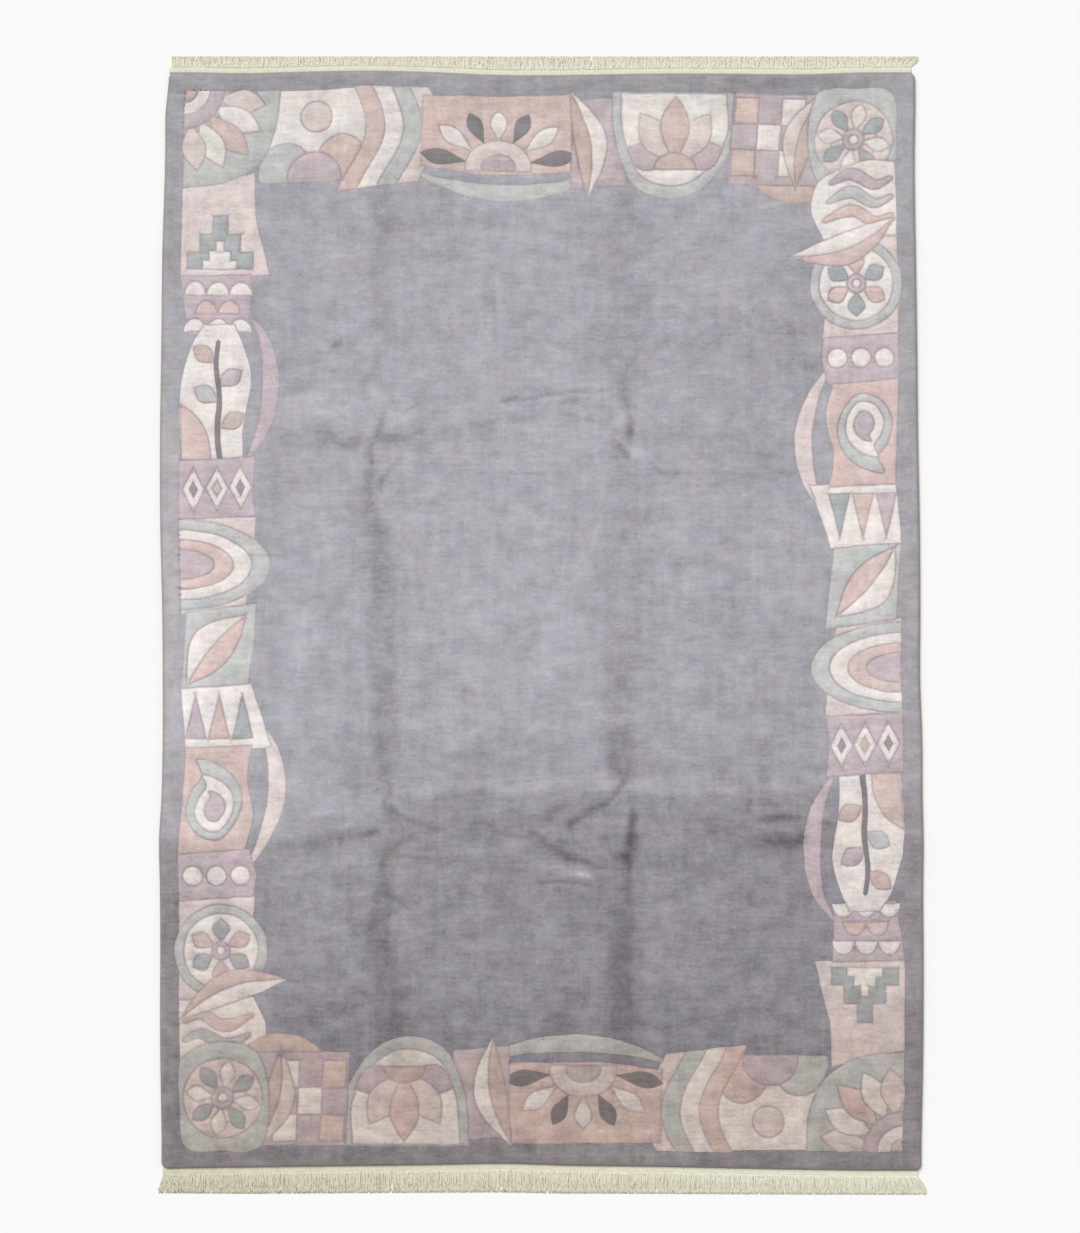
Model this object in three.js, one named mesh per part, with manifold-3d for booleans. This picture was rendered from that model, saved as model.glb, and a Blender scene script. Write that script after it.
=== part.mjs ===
// A hand-knotted wool rug with a cotton fringe at both ends, lying flat on the floor.
// Millimetres, +Z up. The origin is on the floor under the middle of the whole outline, and +Y
// points along the rug, to the end with the shorter fringe.
//
// The rug is one knotted cloth: its pile is one slab with worn, uneven edges and the soft troughs
// and ridges that old folds left in it. Past each end the cotton warps go on as a narrow flat-woven
// strip, and the strip's warp ends lie on the floor as a fringe.

import * as THREE from "three";
import Module from "manifold-3d";

// Driving dimensions of the knotted pile.
const PILE_WIDTH = 2000;
const PILE_LENGTH = 2910;
const PILE_HEIGHT = 14;
const CORNER_RADIUS = 14;

// The pile's edge is brushed round: its height, as a share of the whole, by the distance inwards.
const RIM = [
  { inset: 0, share: 0.6 },
  { inset: 5, share: 0.9 },
  { inset: CORNER_RADIUS, share: 1 },
];

// Fringe and the flat-woven strip at its root, which lies this far from the pile's edge.
const GAP = 0.3;
const STRIP_WIDTH = 14;
const STRIP_THICKNESS = 3;
const STRIP_END_INSET = 3;
const STRANDS_PER_END = 150;
const STRAND_ROOT_OVERLAP = 5;
const STRAND_WIDTH = 6;
const STRAND_HEIGHT = 4;
const STRAND_TIP_SHARE = 0.6;
const STRAND_WANDER = 2.6;
const SPLAY_REACH = 70;

// The end that each fringe is on, how far its tips lie past the pile, how far its outermost tips lie
// from the rug's middle line, and how unevenly it is cut.
const TOP_FRINGE = {
  name: "fringe_top",
  end: 1,
  reach: 42,
  left: 1020,
  right: 1017,
  ragged: 1.5,
  seed: 7,
};
const BOTTOM_FRINGE = {
  name: "fringe_bottom",
  end: -1,
  reach: 64,
  left: 1008,
  right: 1020,
  ragged: 3,
  seed: 19,
};

// The longer fringe pushes the pile's middle off the origin.
const PILE_MIDDLE_Y = (BOTTOM_FRINGE.reach - TOP_FRINGE.reach) / 2;

// How far the long edges stand out past half the width, by the distance from the pile's middle.
const LONG_EDGES = [
  { along: -1455, left: -4, right: 1 },
  { along: -1350, left: -1, right: 5 },
  { along: -1115, left: 4, right: 11 },
  { along: -875, left: 5, right: 13 },
  { along: -715, left: 7, right: 13 },
  { along: -595, left: 10, right: 15 },
  { along: -475, left: 4, right: 13 },
  { along: -315, left: 2, right: 13 },
  { along: -160, left: 3, right: 8 },
  { along: 0, left: 5, right: 10 },
  { along: 240, left: 12, right: 10 },
  { along: 480, left: 14, right: 7 },
  { along: 720, left: 12, right: 6 },
  { along: 960, left: 11, right: 4 },
  { along: 1200, left: 5, right: 2 },
  { along: 1360, left: 5, right: 5 },
  { along: 1455, left: 2, right: 5 },
];

// How far the two ends stand out past half the length, by the distance from the pile's middle.
const SHORT_EDGES = [
  { across: -1000, bottom: 2, top: 5 },
  { across: -800, bottom: -1, top: 0 },
  { across: -640, bottom: -3, top: 4 },
  { across: -480, bottom: -5, top: 7 },
  { across: -320, bottom: -7, top: 4 },
  { across: -100, bottom: -11, top: -5 },
  { across: 60, bottom: -6, top: -5 },
  { across: 300, bottom: -3, top: -1 },
  { across: 500, bottom: 1, top: -1 },
  { across: 700, bottom: 5, top: -3 },
  { across: 850, bottom: 7, top: 2 },
  { across: 1000, bottom: 7, top: 2 },
];

// Folds left in the cloth: the line each follows, how far it rises (a trough is below zero), and how
// far it spreads to each side. Places are measured from the pile's middle.
const FOLDS = [
  { fold: "left lengthwise", fromX: -425, fromY: 1180, toX: -445, toY: 560, rise: -1.4, spread: 44 },
  { fold: "left lengthwise", fromX: -447, fromY: 560, toX: -440, toY: 418, rise: -3.4, spread: 30 },
  { fold: "left lengthwise", fromX: -440, fromY: 418, toX: -418, toY: -500, rise: -1.8, spread: 44 },
  { fold: "left lengthwise", fromX: -418, fromY: -583, toX: -416, toY: -705, rise: -3.4, spread: 28 },
  { fold: "left lengthwise", fromX: -416, fromY: -705, toX: -402, toY: -1240, rise: -1.6, spread: 44 },
  { fold: "right lengthwise", fromX: 226, fromY: 1180, toX: 230, toY: 610, rise: -1.2, spread: 42 },
  { fold: "right lengthwise", fromX: 232, fromY: 602, toX: 226, toY: 440, rise: -3.6, spread: 26 },
  { fold: "right lengthwise", fromX: 226, fromY: 440, toX: 226, toY: -400, rise: -1.6, spread: 42 },
  { fold: "right lengthwise", fromX: 238, fromY: -503, toX: 238, toY: -644, rise: -4.6, spread: 24 },
  { fold: "right lengthwise", fromX: 222, fromY: -644, toX: 219, toY: -1154, rise: -2, spread: 42 },
  { fold: "upper arc", fromX: -463, fromY: 458, toX: -341, toY: 498, rise: -2.6, spread: 30 },
  { fold: "upper arc", fromX: -341, fromY: 498, toX: -97, toY: 591, rise: -2.4, spread: 30 },
  { fold: "upper arc", fromX: -97, fromY: 591, toX: 230, toY: 641, rise: -2.2, spread: 28 },
  { fold: "upper left swell", fromX: -680, fromY: 570, toX: -500, toY: 560, rise: 2.8, spread: 46 },
  { fold: "upper left hollow", fromX: -615, fromY: 500, toX: -463, toY: 469, rise: -2.6, spread: 30 },
  { fold: "upper right cross", fromX: 300, fromY: 392, toX: 748, toY: 392, rise: -1.6, spread: 30 },
  { fold: "lower line", fromX: -418, fromY: -503, toX: -36, toY: -461, rise: -3, spread: 28 },
  { fold: "lower line", fromX: -36, fromY: -461, toX: 200, toY: -452, rise: -2.6, spread: 28 },
  { fold: "lower fork", fromX: 227, fromY: -400, toX: 76, toY: -543, rise: -2.4, spread: 26 },
  { fold: "lower bow", fromX: -7, fromY: -583, toX: 147, toY: -649, rise: -3.2, spread: 26 },
  { fold: "lower bow swell", fromX: 46, fromY: -672, toX: 150, toY: -684, rise: 2.6, spread: 34 },
  { fold: "lower left band", fromX: -655, fromY: -594, toX: -432, toY: -559, rise: -2.8, spread: 34 },
  { fold: "lower left swell", fromX: -480, fromY: -655, toX: -450, toY: -660, rise: 2.6, spread: 34 },
  { fold: "lower right band", fromX: 270, fromY: -493, toX: 766, toY: -520, rise: -1.8, spread: 46 },
  { fold: "lower right swell", fromX: 300, fromY: -600, toX: 700, toY: -610, rise: 1.6, spread: 50 },
];

// Mesh steps: wide over the plain pile, close where the folds cross.
const WIDE_STEP = 66;
const CLOSE_STEP = 26;
const CLOSE_ACROSS = [
  { from: -500, to: -370 },
  { from: 180, to: 280 },
];
const CLOSE_ALONG = [
  { from: -730, to: -420 },
  { from: 370, to: 650 },
];

const SAME_PLACE = 1e-6;

const WOOL_GREY = 0xa9a6ae;
const COTTON_ECRU = 0xd9d4bd;

const wasm = await Module();
wasm.setup();

// A smooth curve through one column of a table: a cubic between two rows, with the slope at each row
// taken from the rows on either side of it.
function alongTable(table, key, column, at) {
  const last = table.length - 1;
  let row = 0;
  while (row < last - 1 && table[row + 1][key] < at) {
    row += 1;
  }
  const slope = (i) => {
    const before = table[Math.max(i - 1, 0)];
    const after = table[Math.min(i + 1, last)];
    return (after[column] - before[column]) / (after[key] - before[key]);
  };
  const span = table[row + 1][key] - table[row][key];
  const t = THREE.MathUtils.clamp((at - table[row][key]) / span, 0, 1);
  const start = table[row][column];
  const finish = table[row + 1][column];
  return (
    start * (1 - t) ** 2 * (1 + 2 * t) +
    finish * t ** 2 * (3 - 2 * t) +
    span * (slope(row) * t * (1 - t) ** 2 - slope(row + 1) * t ** 2 * (1 - t))
  );
}

// Even steps from one place to another, close inside the given bands and wide outside them.
function steps(from, to, bands) {
  const cuts = [from, ...bands.flatMap((band) => [band.from, band.to]), to];
  const places = [];
  for (let i = 0; i < cuts.length - 1; i += 1) {
    const step = i % 2 === 0 ? WIDE_STEP : CLOSE_STEP;
    const count = Math.round((cuts[i + 1] - cuts[i]) / step);
    for (let k = 0; k < count; k += 1) {
      places.push(THREE.MathUtils.lerp(cuts[i], cuts[i + 1], k / count));
    }
  }
  return [...places, to];
}

// The places of the mesh lines across one direction, with the rounded rim's own lines at both sides.
function linesAcross(size, bands) {
  const half = size / 2;
  const rim = RIM.slice(0, -1).map((row) => half - row.inset);
  const inner = steps(-half + CORNER_RADIUS, half - CORNER_RADIUS, bands);
  return [...rim.map((place) => -place), ...inner, ...rim.toReversed()];
}

// Turns the square corner of the flat plan into a quarter circle: a point in the corner's square
// moves along its line to the square's inner corner, until squares around it become circles.
function withRoundCorner(a, b) {
  const innerA = Math.sign(a) * (PILE_WIDTH / 2 - CORNER_RADIUS);
  const innerB = Math.sign(b) * (PILE_LENGTH / 2 - CORNER_RADIUS);
  const da = a - innerA;
  const db = b - innerB;
  const inCorner = da * Math.sign(a) > 0 && db * Math.sign(b) > 0;
  if (!inCorner) {
    return [a, b];
  }
  const scale = Math.max(Math.abs(da), Math.abs(db)) / Math.hypot(da, db);
  return [innerA + da * scale, innerB + db * scale];
}

// Places a point of the straight plan on the uneven outline of the real rug.
function onRug(a, b) {
  const [planA, planB] = withRoundCorner(a, b);
  const left = -PILE_WIDTH / 2 - alongTable(LONG_EDGES, "along", "left", planB);
  const right = PILE_WIDTH / 2 + alongTable(LONG_EDGES, "along", "right", planB);
  const bottom = -PILE_LENGTH / 2 - alongTable(SHORT_EDGES, "across", "bottom", planA);
  const top = PILE_LENGTH / 2 + alongTable(SHORT_EDGES, "across", "top", planA);
  return [
    THREE.MathUtils.lerp(left, right, planA / PILE_WIDTH + 0.5),
    THREE.MathUtils.lerp(bottom, top, planB / PILE_LENGTH + 0.5) + PILE_MIDDLE_Y,
  ];
}

// The sum of all folds at one place: each is a bell across its line, the same all along it.
function foldRise(x, y) {
  const place = new THREE.Vector3(x, y - PILE_MIDDLE_Y, 0);
  const nearest = new THREE.Vector3();
  let rise = 0;
  for (const row of FOLDS) {
    const line = new THREE.Line3(
      new THREE.Vector3(row.fromX, row.fromY, 0),
      new THREE.Vector3(row.toX, row.toY, 0),
    );
    line.closestPointToPoint(place, true, nearest);
    rise += row.rise * Math.exp(-((place.distanceTo(nearest) / row.spread) ** 2));
  }
  return rise;
}

// The pile's height at a point of the straight plan: full inside, rounded down over the rim.
function pileHeight(a, b, x, y) {
  const inset = Math.min(PILE_WIDTH / 2 - Math.abs(a), PILE_LENGTH / 2 - Math.abs(b));
  const rimRow = RIM.find((row) => inset <= row.inset + SAME_PLACE) ?? RIM[RIM.length - 1];
  return PILE_HEIGHT * rimRow.share + foldRise(x, y);
}

function countTo(count) {
  return Array.from({ length: count }, (_, k) => k);
}

function geometryOf(points, triangles) {
  const geometry = new THREE.BufferGeometry();
  geometry.setAttribute("position", new THREE.Float32BufferAttribute(points.flat(), 3));
  geometry.setIndex(triangles.flat());
  return geometry;
}

// The slab: a grid of points on top, an upright wall around it and a flat underside.
function pileSlab() {
  const across = linesAcross(PILE_WIDTH, CLOSE_ACROSS);
  const along = linesAcross(PILE_LENGTH, CLOSE_ALONG);
  const points = [];
  const triangles = [];
  for (const b of along) {
    for (const a of across) {
      const [x, y] = onRug(a, b);
      points.push([x, y, pileHeight(a, b, x, y)]);
    }
  }
  const columns = across.length;
  const rows = along.length;
  for (let j = 0; j < rows - 1; j += 1) {
    for (let i = 0; i < columns - 1; i += 1) {
      const corner = j * columns + i;
      triangles.push([corner, corner + 1, corner + columns + 1]);
      triangles.push([corner, corner + columns + 1, corner + columns]);
    }
  }

  const rim = [
    ...countTo(columns - 1),
    ...countTo(rows - 1).map((j) => j * columns + columns - 1),
    ...countTo(columns - 1).map((i) => rows * columns - 1 - i),
    ...countTo(rows - 1).map((j) => (rows - 1 - j) * columns),
  ];

  const floor = points.length;
  rim.forEach((top) => points.push([points[top][0], points[top][1], 0]));
  rim.forEach((top, k) => {
    const next = (k + 1) % rim.length;
    triangles.push([top, floor + k, floor + next]);
    triangles.push([top, floor + next, rim[next]]);
  });
  const outline = rim.map((top) => new THREE.Vector2(points[top][0], points[top][1]));
  for (const [p, q, r] of THREE.ShapeUtils.triangulateShape(outline, [])) {
    triangles.push([floor + p, floor + r, floor + q]);
  }
  return geometryOf(points, triangles);
}

// The flat-woven strip: it follows the pile's end edge a gap away, and ends just short of the
// pile's long edges.
function wovenStrip(end) {
  const lines = linesAcross(PILE_WIDTH, CLOSE_ACROSS).slice(RIM.length - 1, 1 - RIM.length);
  const edge = (end * PILE_LENGTH) / 2;
  const inner = lines.map((a) => onRug(a, edge));
  const reachOut = CORNER_RADIUS - STRIP_END_INSET;
  inner[0][0] -= reachOut;
  inner[inner.length - 1][0] += reachOut;
  const points = [];
  for (const [x, y] of inner) {
    const near = y + end * GAP;
    const far = near + end * STRIP_WIDTH;
    points.push([x, near, 0], [x, near, STRIP_THICKNESS], [x, far, STRIP_THICKNESS], [x, far, 0]);
  }
  return sweptSolid(points, 4, end < 0);
}

// A closed body from sections of the same number of sides, one after another, with flat ends. Its
// faces are turned round where the sections run the other way.
function sweptSolid(points, sides, facesOut) {
  const triangles = [];
  const sections = points.length / sides;
  for (let s = 0; s < sections - 1; s += 1) {
    for (let k = 0; k < sides; k += 1) {
      const near = s * sides + k;
      const next = s * sides + ((k + 1) % sides);
      triangles.push([near, next, next + sides], [near, next + sides, near + sides]);
    }
  }
  const last = (sections - 1) * sides;
  for (let k = 1; k < sides - 1; k += 1) {
    triangles.push([0, k + 1, k], [last, last + k, last + k + 1]);
  }
  return geometryOf(points, facesOut ? triangles : triangles.map(([p, q, r]) => [p, r, q]));
}

// One warp end on the floor: a three-sided yarn, flat underneath, that wanders a little and thins
// to its tip.
function strand(root, tip, sway, end) {
  const sections = [
    { share: 0, width: 1 },
    { share: 0.55, width: 0.92 },
    { share: 1, width: STRAND_TIP_SHARE },
  ];
  const points = [];
  for (const { share, width } of sections) {
    const x = THREE.MathUtils.lerp(root.x, tip.x, share) + sway * Math.sin(Math.PI * share);
    const y = THREE.MathUtils.lerp(root.y, tip.y, share);
    const half = (STRAND_WIDTH * width) / 2;
    points.push([x - half, y, 0], [x, y, STRAND_HEIGHT * width], [x + half, y, 0]);
  }
  return sweptSolid(points, 3, end > 0);
}

// Even, repeatable scatter between -1 and 1.
function scatterFrom(seed) {
  let state = seed;
  return () => {
    state = (state * 16807) % 2147483647;
    return (state / 2147483647) * 2 - 1;
  };
}

function toSolid(geometry) {
  return new wasm.Manifold(
    new wasm.Mesh({
      numProp: 3,
      vertProperties: geometry.attributes.position.array,
      triVerts: new Uint32Array(geometry.index.array),
    }),
  );
}

function toGeometry(solid) {
  const mesh = solid.getMesh();
  const geometry = new THREE.BufferGeometry();
  geometry.setAttribute("position", new THREE.BufferAttribute(mesh.vertProperties, 3));
  geometry.setIndex(new THREE.BufferAttribute(mesh.triVerts, 1));
  return geometry;
}

// The share of the corner strand's lean that a strand this far from it still has.
function splay(distance) {
  return Math.exp(-((distance / SPLAY_REACH) ** 2));
}

// A strip with its fringe. The strands stand apart, and those by the corners splay outwards.
function fringe({ end, reach, left, right, ragged, seed }) {
  const scatter = scatterFrom(seed);
  const firstRoot = onRug(-PILE_WIDTH / 2 + CORNER_RADIUS, (end * PILE_LENGTH) / 2)[0];
  const lastRoot = onRug(PILE_WIDTH / 2 - CORNER_RADIUS, (end * PILE_LENGTH) / 2)[0];
  const tipY = end * (PILE_LENGTH / 2 + reach) + PILE_MIDDLE_Y;
  const tipHalf = (STRAND_WIDTH * STRAND_TIP_SHARE) / 2;
  let solid = toSolid(wovenStrip(end));
  for (let i = 0; i < STRANDS_PER_END; i += 1) {
    const share = i / (STRANDS_PER_END - 1);
    const outermost = i === 0 || i === STRANDS_PER_END - 1;
    const rootX = THREE.MathUtils.lerp(firstRoot, lastRoot, share);
    const edgeY = onRug(rootX, (end * PILE_LENGTH) / 2)[1];
    const leftPull = (left - tipHalf + firstRoot) * splay(rootX - firstRoot);
    const rightPull = (right - tipHalf - lastRoot) * splay(rootX - lastRoot);
    const wander = outermost ? 0 : scatter() * STRAND_WANDER;
    const shortfall = outermost ? 0 : ((scatter() + 1) / 2) * ragged;
    const root = { x: rootX, y: edgeY + end * (GAP + STRIP_WIDTH - STRAND_ROOT_OVERLAP) };
    const tip = { x: rootX + rightPull - leftPull + wander, y: tipY - end * shortfall };
    solid = solid.add(toSolid(strand(root, tip, (scatter() * STRAND_WANDER) / 2, end)));
  }
  return toGeometry(solid);
}

function piece(name, geometry, color) {
  const material = new THREE.MeshStandardMaterial({ color, roughness: 0.95, metalness: 0 });
  const mesh = new THREE.Mesh(geometry, material);
  mesh.name = name;
  return mesh;
}

const rug = new THREE.Group();
rug.add(piece("rug_pile", pileSlab(), WOOL_GREY));
for (const row of [TOP_FRINGE, BOTTOM_FRINGE]) {
  rug.add(piece(row.name, fringe(row), COTTON_ECRU));
}

export default rug;
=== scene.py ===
"""A hand-knotted wool rug that lies flat, with a carved border, old fold marks and a cotton fringe at
both ends."""

import bpy
import numpy as np
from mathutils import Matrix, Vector
from mathutils.geometry import delaunay_2d_cdt


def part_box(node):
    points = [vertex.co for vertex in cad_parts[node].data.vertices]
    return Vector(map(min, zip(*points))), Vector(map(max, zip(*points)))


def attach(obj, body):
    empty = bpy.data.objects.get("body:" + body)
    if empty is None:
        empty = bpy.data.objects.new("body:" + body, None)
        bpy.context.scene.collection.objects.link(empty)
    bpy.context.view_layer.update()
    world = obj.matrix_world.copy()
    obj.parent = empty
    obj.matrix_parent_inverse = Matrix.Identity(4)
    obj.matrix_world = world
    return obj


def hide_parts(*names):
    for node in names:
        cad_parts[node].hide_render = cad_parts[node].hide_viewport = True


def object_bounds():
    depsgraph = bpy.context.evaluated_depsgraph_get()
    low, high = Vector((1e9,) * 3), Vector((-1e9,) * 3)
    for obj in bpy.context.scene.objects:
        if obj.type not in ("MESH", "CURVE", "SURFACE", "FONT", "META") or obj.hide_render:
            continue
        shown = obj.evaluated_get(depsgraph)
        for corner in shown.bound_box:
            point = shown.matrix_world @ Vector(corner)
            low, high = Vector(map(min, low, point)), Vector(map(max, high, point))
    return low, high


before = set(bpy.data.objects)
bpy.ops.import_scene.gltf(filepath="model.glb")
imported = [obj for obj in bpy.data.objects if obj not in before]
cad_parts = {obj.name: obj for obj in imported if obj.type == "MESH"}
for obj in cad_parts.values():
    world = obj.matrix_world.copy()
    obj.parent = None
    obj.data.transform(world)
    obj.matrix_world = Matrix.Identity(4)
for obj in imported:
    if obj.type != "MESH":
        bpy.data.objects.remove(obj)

CAD_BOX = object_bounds()

MM = 0.001
CM = 0.01

# Sizes of the knotted pile, in metres. Its plan is a straight rectangle, which is then laid on the
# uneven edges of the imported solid.
PILE_WIDTH = 2.000
PILE_LENGTH = 2.910
PILE_HEIGHT = 0.014
CORNER_RADIUS = 0.016
PILE_MIDDLE_Y = 0.011
# How far the upper left corner is pulled in, and from where along the plan.
CORNER_PULLED_IN = 0.009
CORNER_PULLED_FROM = 1.33
# Points of the imported solid below this height lie on the floor.
FLOOR_LEVEL = 1e-5

# Steps between the pile's points: along a carved line, over the plain pile, and round the rim, which has
# some points more in each corner. Every 40th point of the rim frames the first cut of the plan.
LINE_STEP = 0.0110
PLAIN_STEP = 0.0172
RIM_STEP = 0.0100
RIM_CORNER_POINTS = 5
RIM_FRAME = 40

# A carved line is a groove clipped into the pile between two colours. Rows of points follow it on both
# sides, but not along pieces of line that are too short, nor nearer to another line than to their own.
GROOVE_DEPTH = 0.0022
GROOVE_REACH = 0.0062
GROOVE_ROWS = (0.0027, 0.0052)
GROOVE_ROW_SLACK = 0.0009
SHORTEST_BESIDE_ROW = 0.0025
POINTS_ON_A_STEP = 9

# Along a thin crease: the step, the rows in spreads from its line, and the least distance between points.
CREASE_STEP = 0.0080
CREASE_ROWS = (-1.6, -0.7, 0, 0.7, 1.6)
CREASE_APART = 0.0028

# Plain points keep clear of the rim, the carved lines and the creases. They lie twice as close on folds
# and by the dark line, in millimetres from it, though not in the rug's outer part. Each is moved by up to
# a share of its step.
CLEAR_OF_RIM = 0.021
CLEAR_OF_LINE = 0.0088
CLEAR_OF_CREASE = 0.0036
FOLD_STRENGTH = 0.022
BY_DARK_LINE = 26
OUTER_PART = 0.2
PLAIN_SHIFT = 0.22

# The square grid that distances to lines are read from, and how far it looks.
GRID_CELL = 0.0012
GRID_REACH = 0.0105

# On an underside line, a point may go where the line turns by less than this sine.
HARDLY_TURNS = 0.30

# The pile's rounded edge: distance in from the edge and share of the pile's height.
RIM_ROWS = ((0.0160, 1.0), (0.0108, 0.99), (0.0070, 0.95), (0.0040, 0.87), (0.0016, 0.74), (0.0, 0.55),
            (0.0004, 0.27), (0.0030, 0.0))

# Marks that folding left in the cloth. Each is a line through corners, in millimetres from the pile's
# middle, with a spread to each side in millimetres and a tone in hundredths: below zero a trough that
# looks darker, above zero a ridge that looks lighter, both painted into the pile's colour as painted shade
# and painted light. Between corners both change evenly.
FOLDS = (
    # (x, y, spread, tone), ...
    ((-419, 1175, 35, -15), (-419, 1070, 35, -15), (-424, 963, 32, -9), (-424, 842, 24, -8),
     (-426, 721, 27, -7), (-431, 649, 21, -5)),
    ((-441, 370, 29, -17), (-449, 253, 32, -20), (-425, 179, 35, -21), (-419, 107, 35, -21),
     (-427, 27, 32, -21), (-422, -66, 35, -18), (-413, -199, 35, -20), (-410, -318, 37, -18),
     (-418, -411, 37, -16), (-412, -490, 24, -10)),
    ((-407, -669, 19, -14), (-417, -754, 24, -14), (-425, -832, 29, -19), (-406, -917, 45, -24),
     (-387, -1016, 43, -26), (-392, -1121, 43, -19), (-392, -1179, 43, -15)),
    ((220, 1175, 27, -16), (220, 1070, 27, -14), (233, 976, 72, -8), (235, 868, 48, -8),
     (219, 734, 64, -10), (219, 649, 37, -10)),
    ((268, 1137, 37, -6), (281, 842, 37, -5)),
    ((219, 408, 29, -9), (224, 306, 53, -7), (227, 200, 66, -10), (234, 40, 69, -5), (218, -66, 69, -12),
     (210, -162, 43, -19), (215, -278, 48, -17), (212, -363, 40, -21), (212, -424, 27, -15)),
    ((217, -674, 24, -10), (215, -767, 27, -24), (212, -846, 32, -36), (214, -924, 32, -44),
     (214, -1029, 35, -46), (217, -1121, 40, -30), (217, -1179, 40, -24)),
    ((249, -767, 21, -8), (254, -1016, 21, -6)),
    ((-681, 469, 21, -5), (-607, 469, 21, -10), (-543, 459, 24, -13), (-479, 456, 21, -10)),
    ((-410, 464, 24, -10), (-351, 464, 24, -10), (-266, 477, 24, -8), (-159, 488, 24, -7),
     (-106, 515, 24, -7), (-26, 536, 24, -6), (70, 552, 24, -6)),
    ((-713, 547, 40, 9), (-586, 552, 43, 14), (-511, 536, 37, 14), (-463, 541, 24, 8)),
    ((-404, 520, 21, 8), (-367, 525, 21, 9), (-309, 547, 21, 5)),
    ((-441, 427, 8, 5), (-378, 427, 8, 7), (-306, 419, 11, 6), (-186, 419, 13, 5)),
    ((54, 467, 37, 3), (150, 445, 37, 4)),
    ((150, 756, 24, -9), (294, 732, 24, -10), (481, 732, 19, -9)),
    ((342, 761, 21, -5), (521, 799, 27, -5), (668, 772, 32, -6)),
    ((43, 277, 16, -6), (102, 269, 19, -9), (266, 266, 16, -8), (394, 269, 16, -6)),
    ((229, 213, 11, -7), (309, 213, 11, -6)),
    ((-10, -358, 16, -13), (32, -344, 16, -15), (75, -326, 16, -12)),
    ((-333, -344, 16, -6), (-233, -368, 16, -10), (-158, -374, 16, -7)),
    ((-516, -318, 27, -5), (-497, -463, 27, -7)),
    ((-677, -611, 19, -8), (-603, -606, 21, -12), (-529, -585, 21, -14), (-444, -577, 16, -10)),
    ((-317, -558, 19, -6), (-238, -564, 19, -5), (-142, -566, 21, -10), (-52, -582, 21, -9),
     (1, -590, 21, -10)),
    ((53, -537, 27, -8), (159, -506, 21, -8)),
    ((53, -611, 27, -8), (159, -643, 24, -8)),
    ((16, -674, 16, 5), (106, -685, 16, 8)),
    ((382, -537, 21, -8), (477, -543, 21, -8), (599, -537, 21, -10), (720, -543, 21, -6)),
    ((482, -611, 24, -6), (593, -603, 24, -10), (704, -603, 24, -9)),
    ((265, -711, 21, 3), (397, -719, 24, 7), (529, -711, 24, 7)),
    ((143, -722, 16, 5), (180, -722, 16, 5)),
    ((43, -732, 21, -9), (127, -735, 19, -8)),
    ((-539, -701, 32, 2), (-554, -859, 43, 4)),
    ((-637, 147, 43, 3), (-637, -66, 45, 7), (-641, -278, 40, 6), (-646, -463, 37, 5)),
    ((-525, 40, 21, 2), (-535, -225, 21, 3)),
    ((-504, -66, 21, -3), (-495, -318, 21, -4)),
    ((139, 133, 13, -5), (149, 8, 13, -7)),
    ((-390, -66, 16, -6), (-386, -344, 16, -6)),
    ((583, -352, 21, -5), (591, -437, 21, -5)),
)
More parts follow.
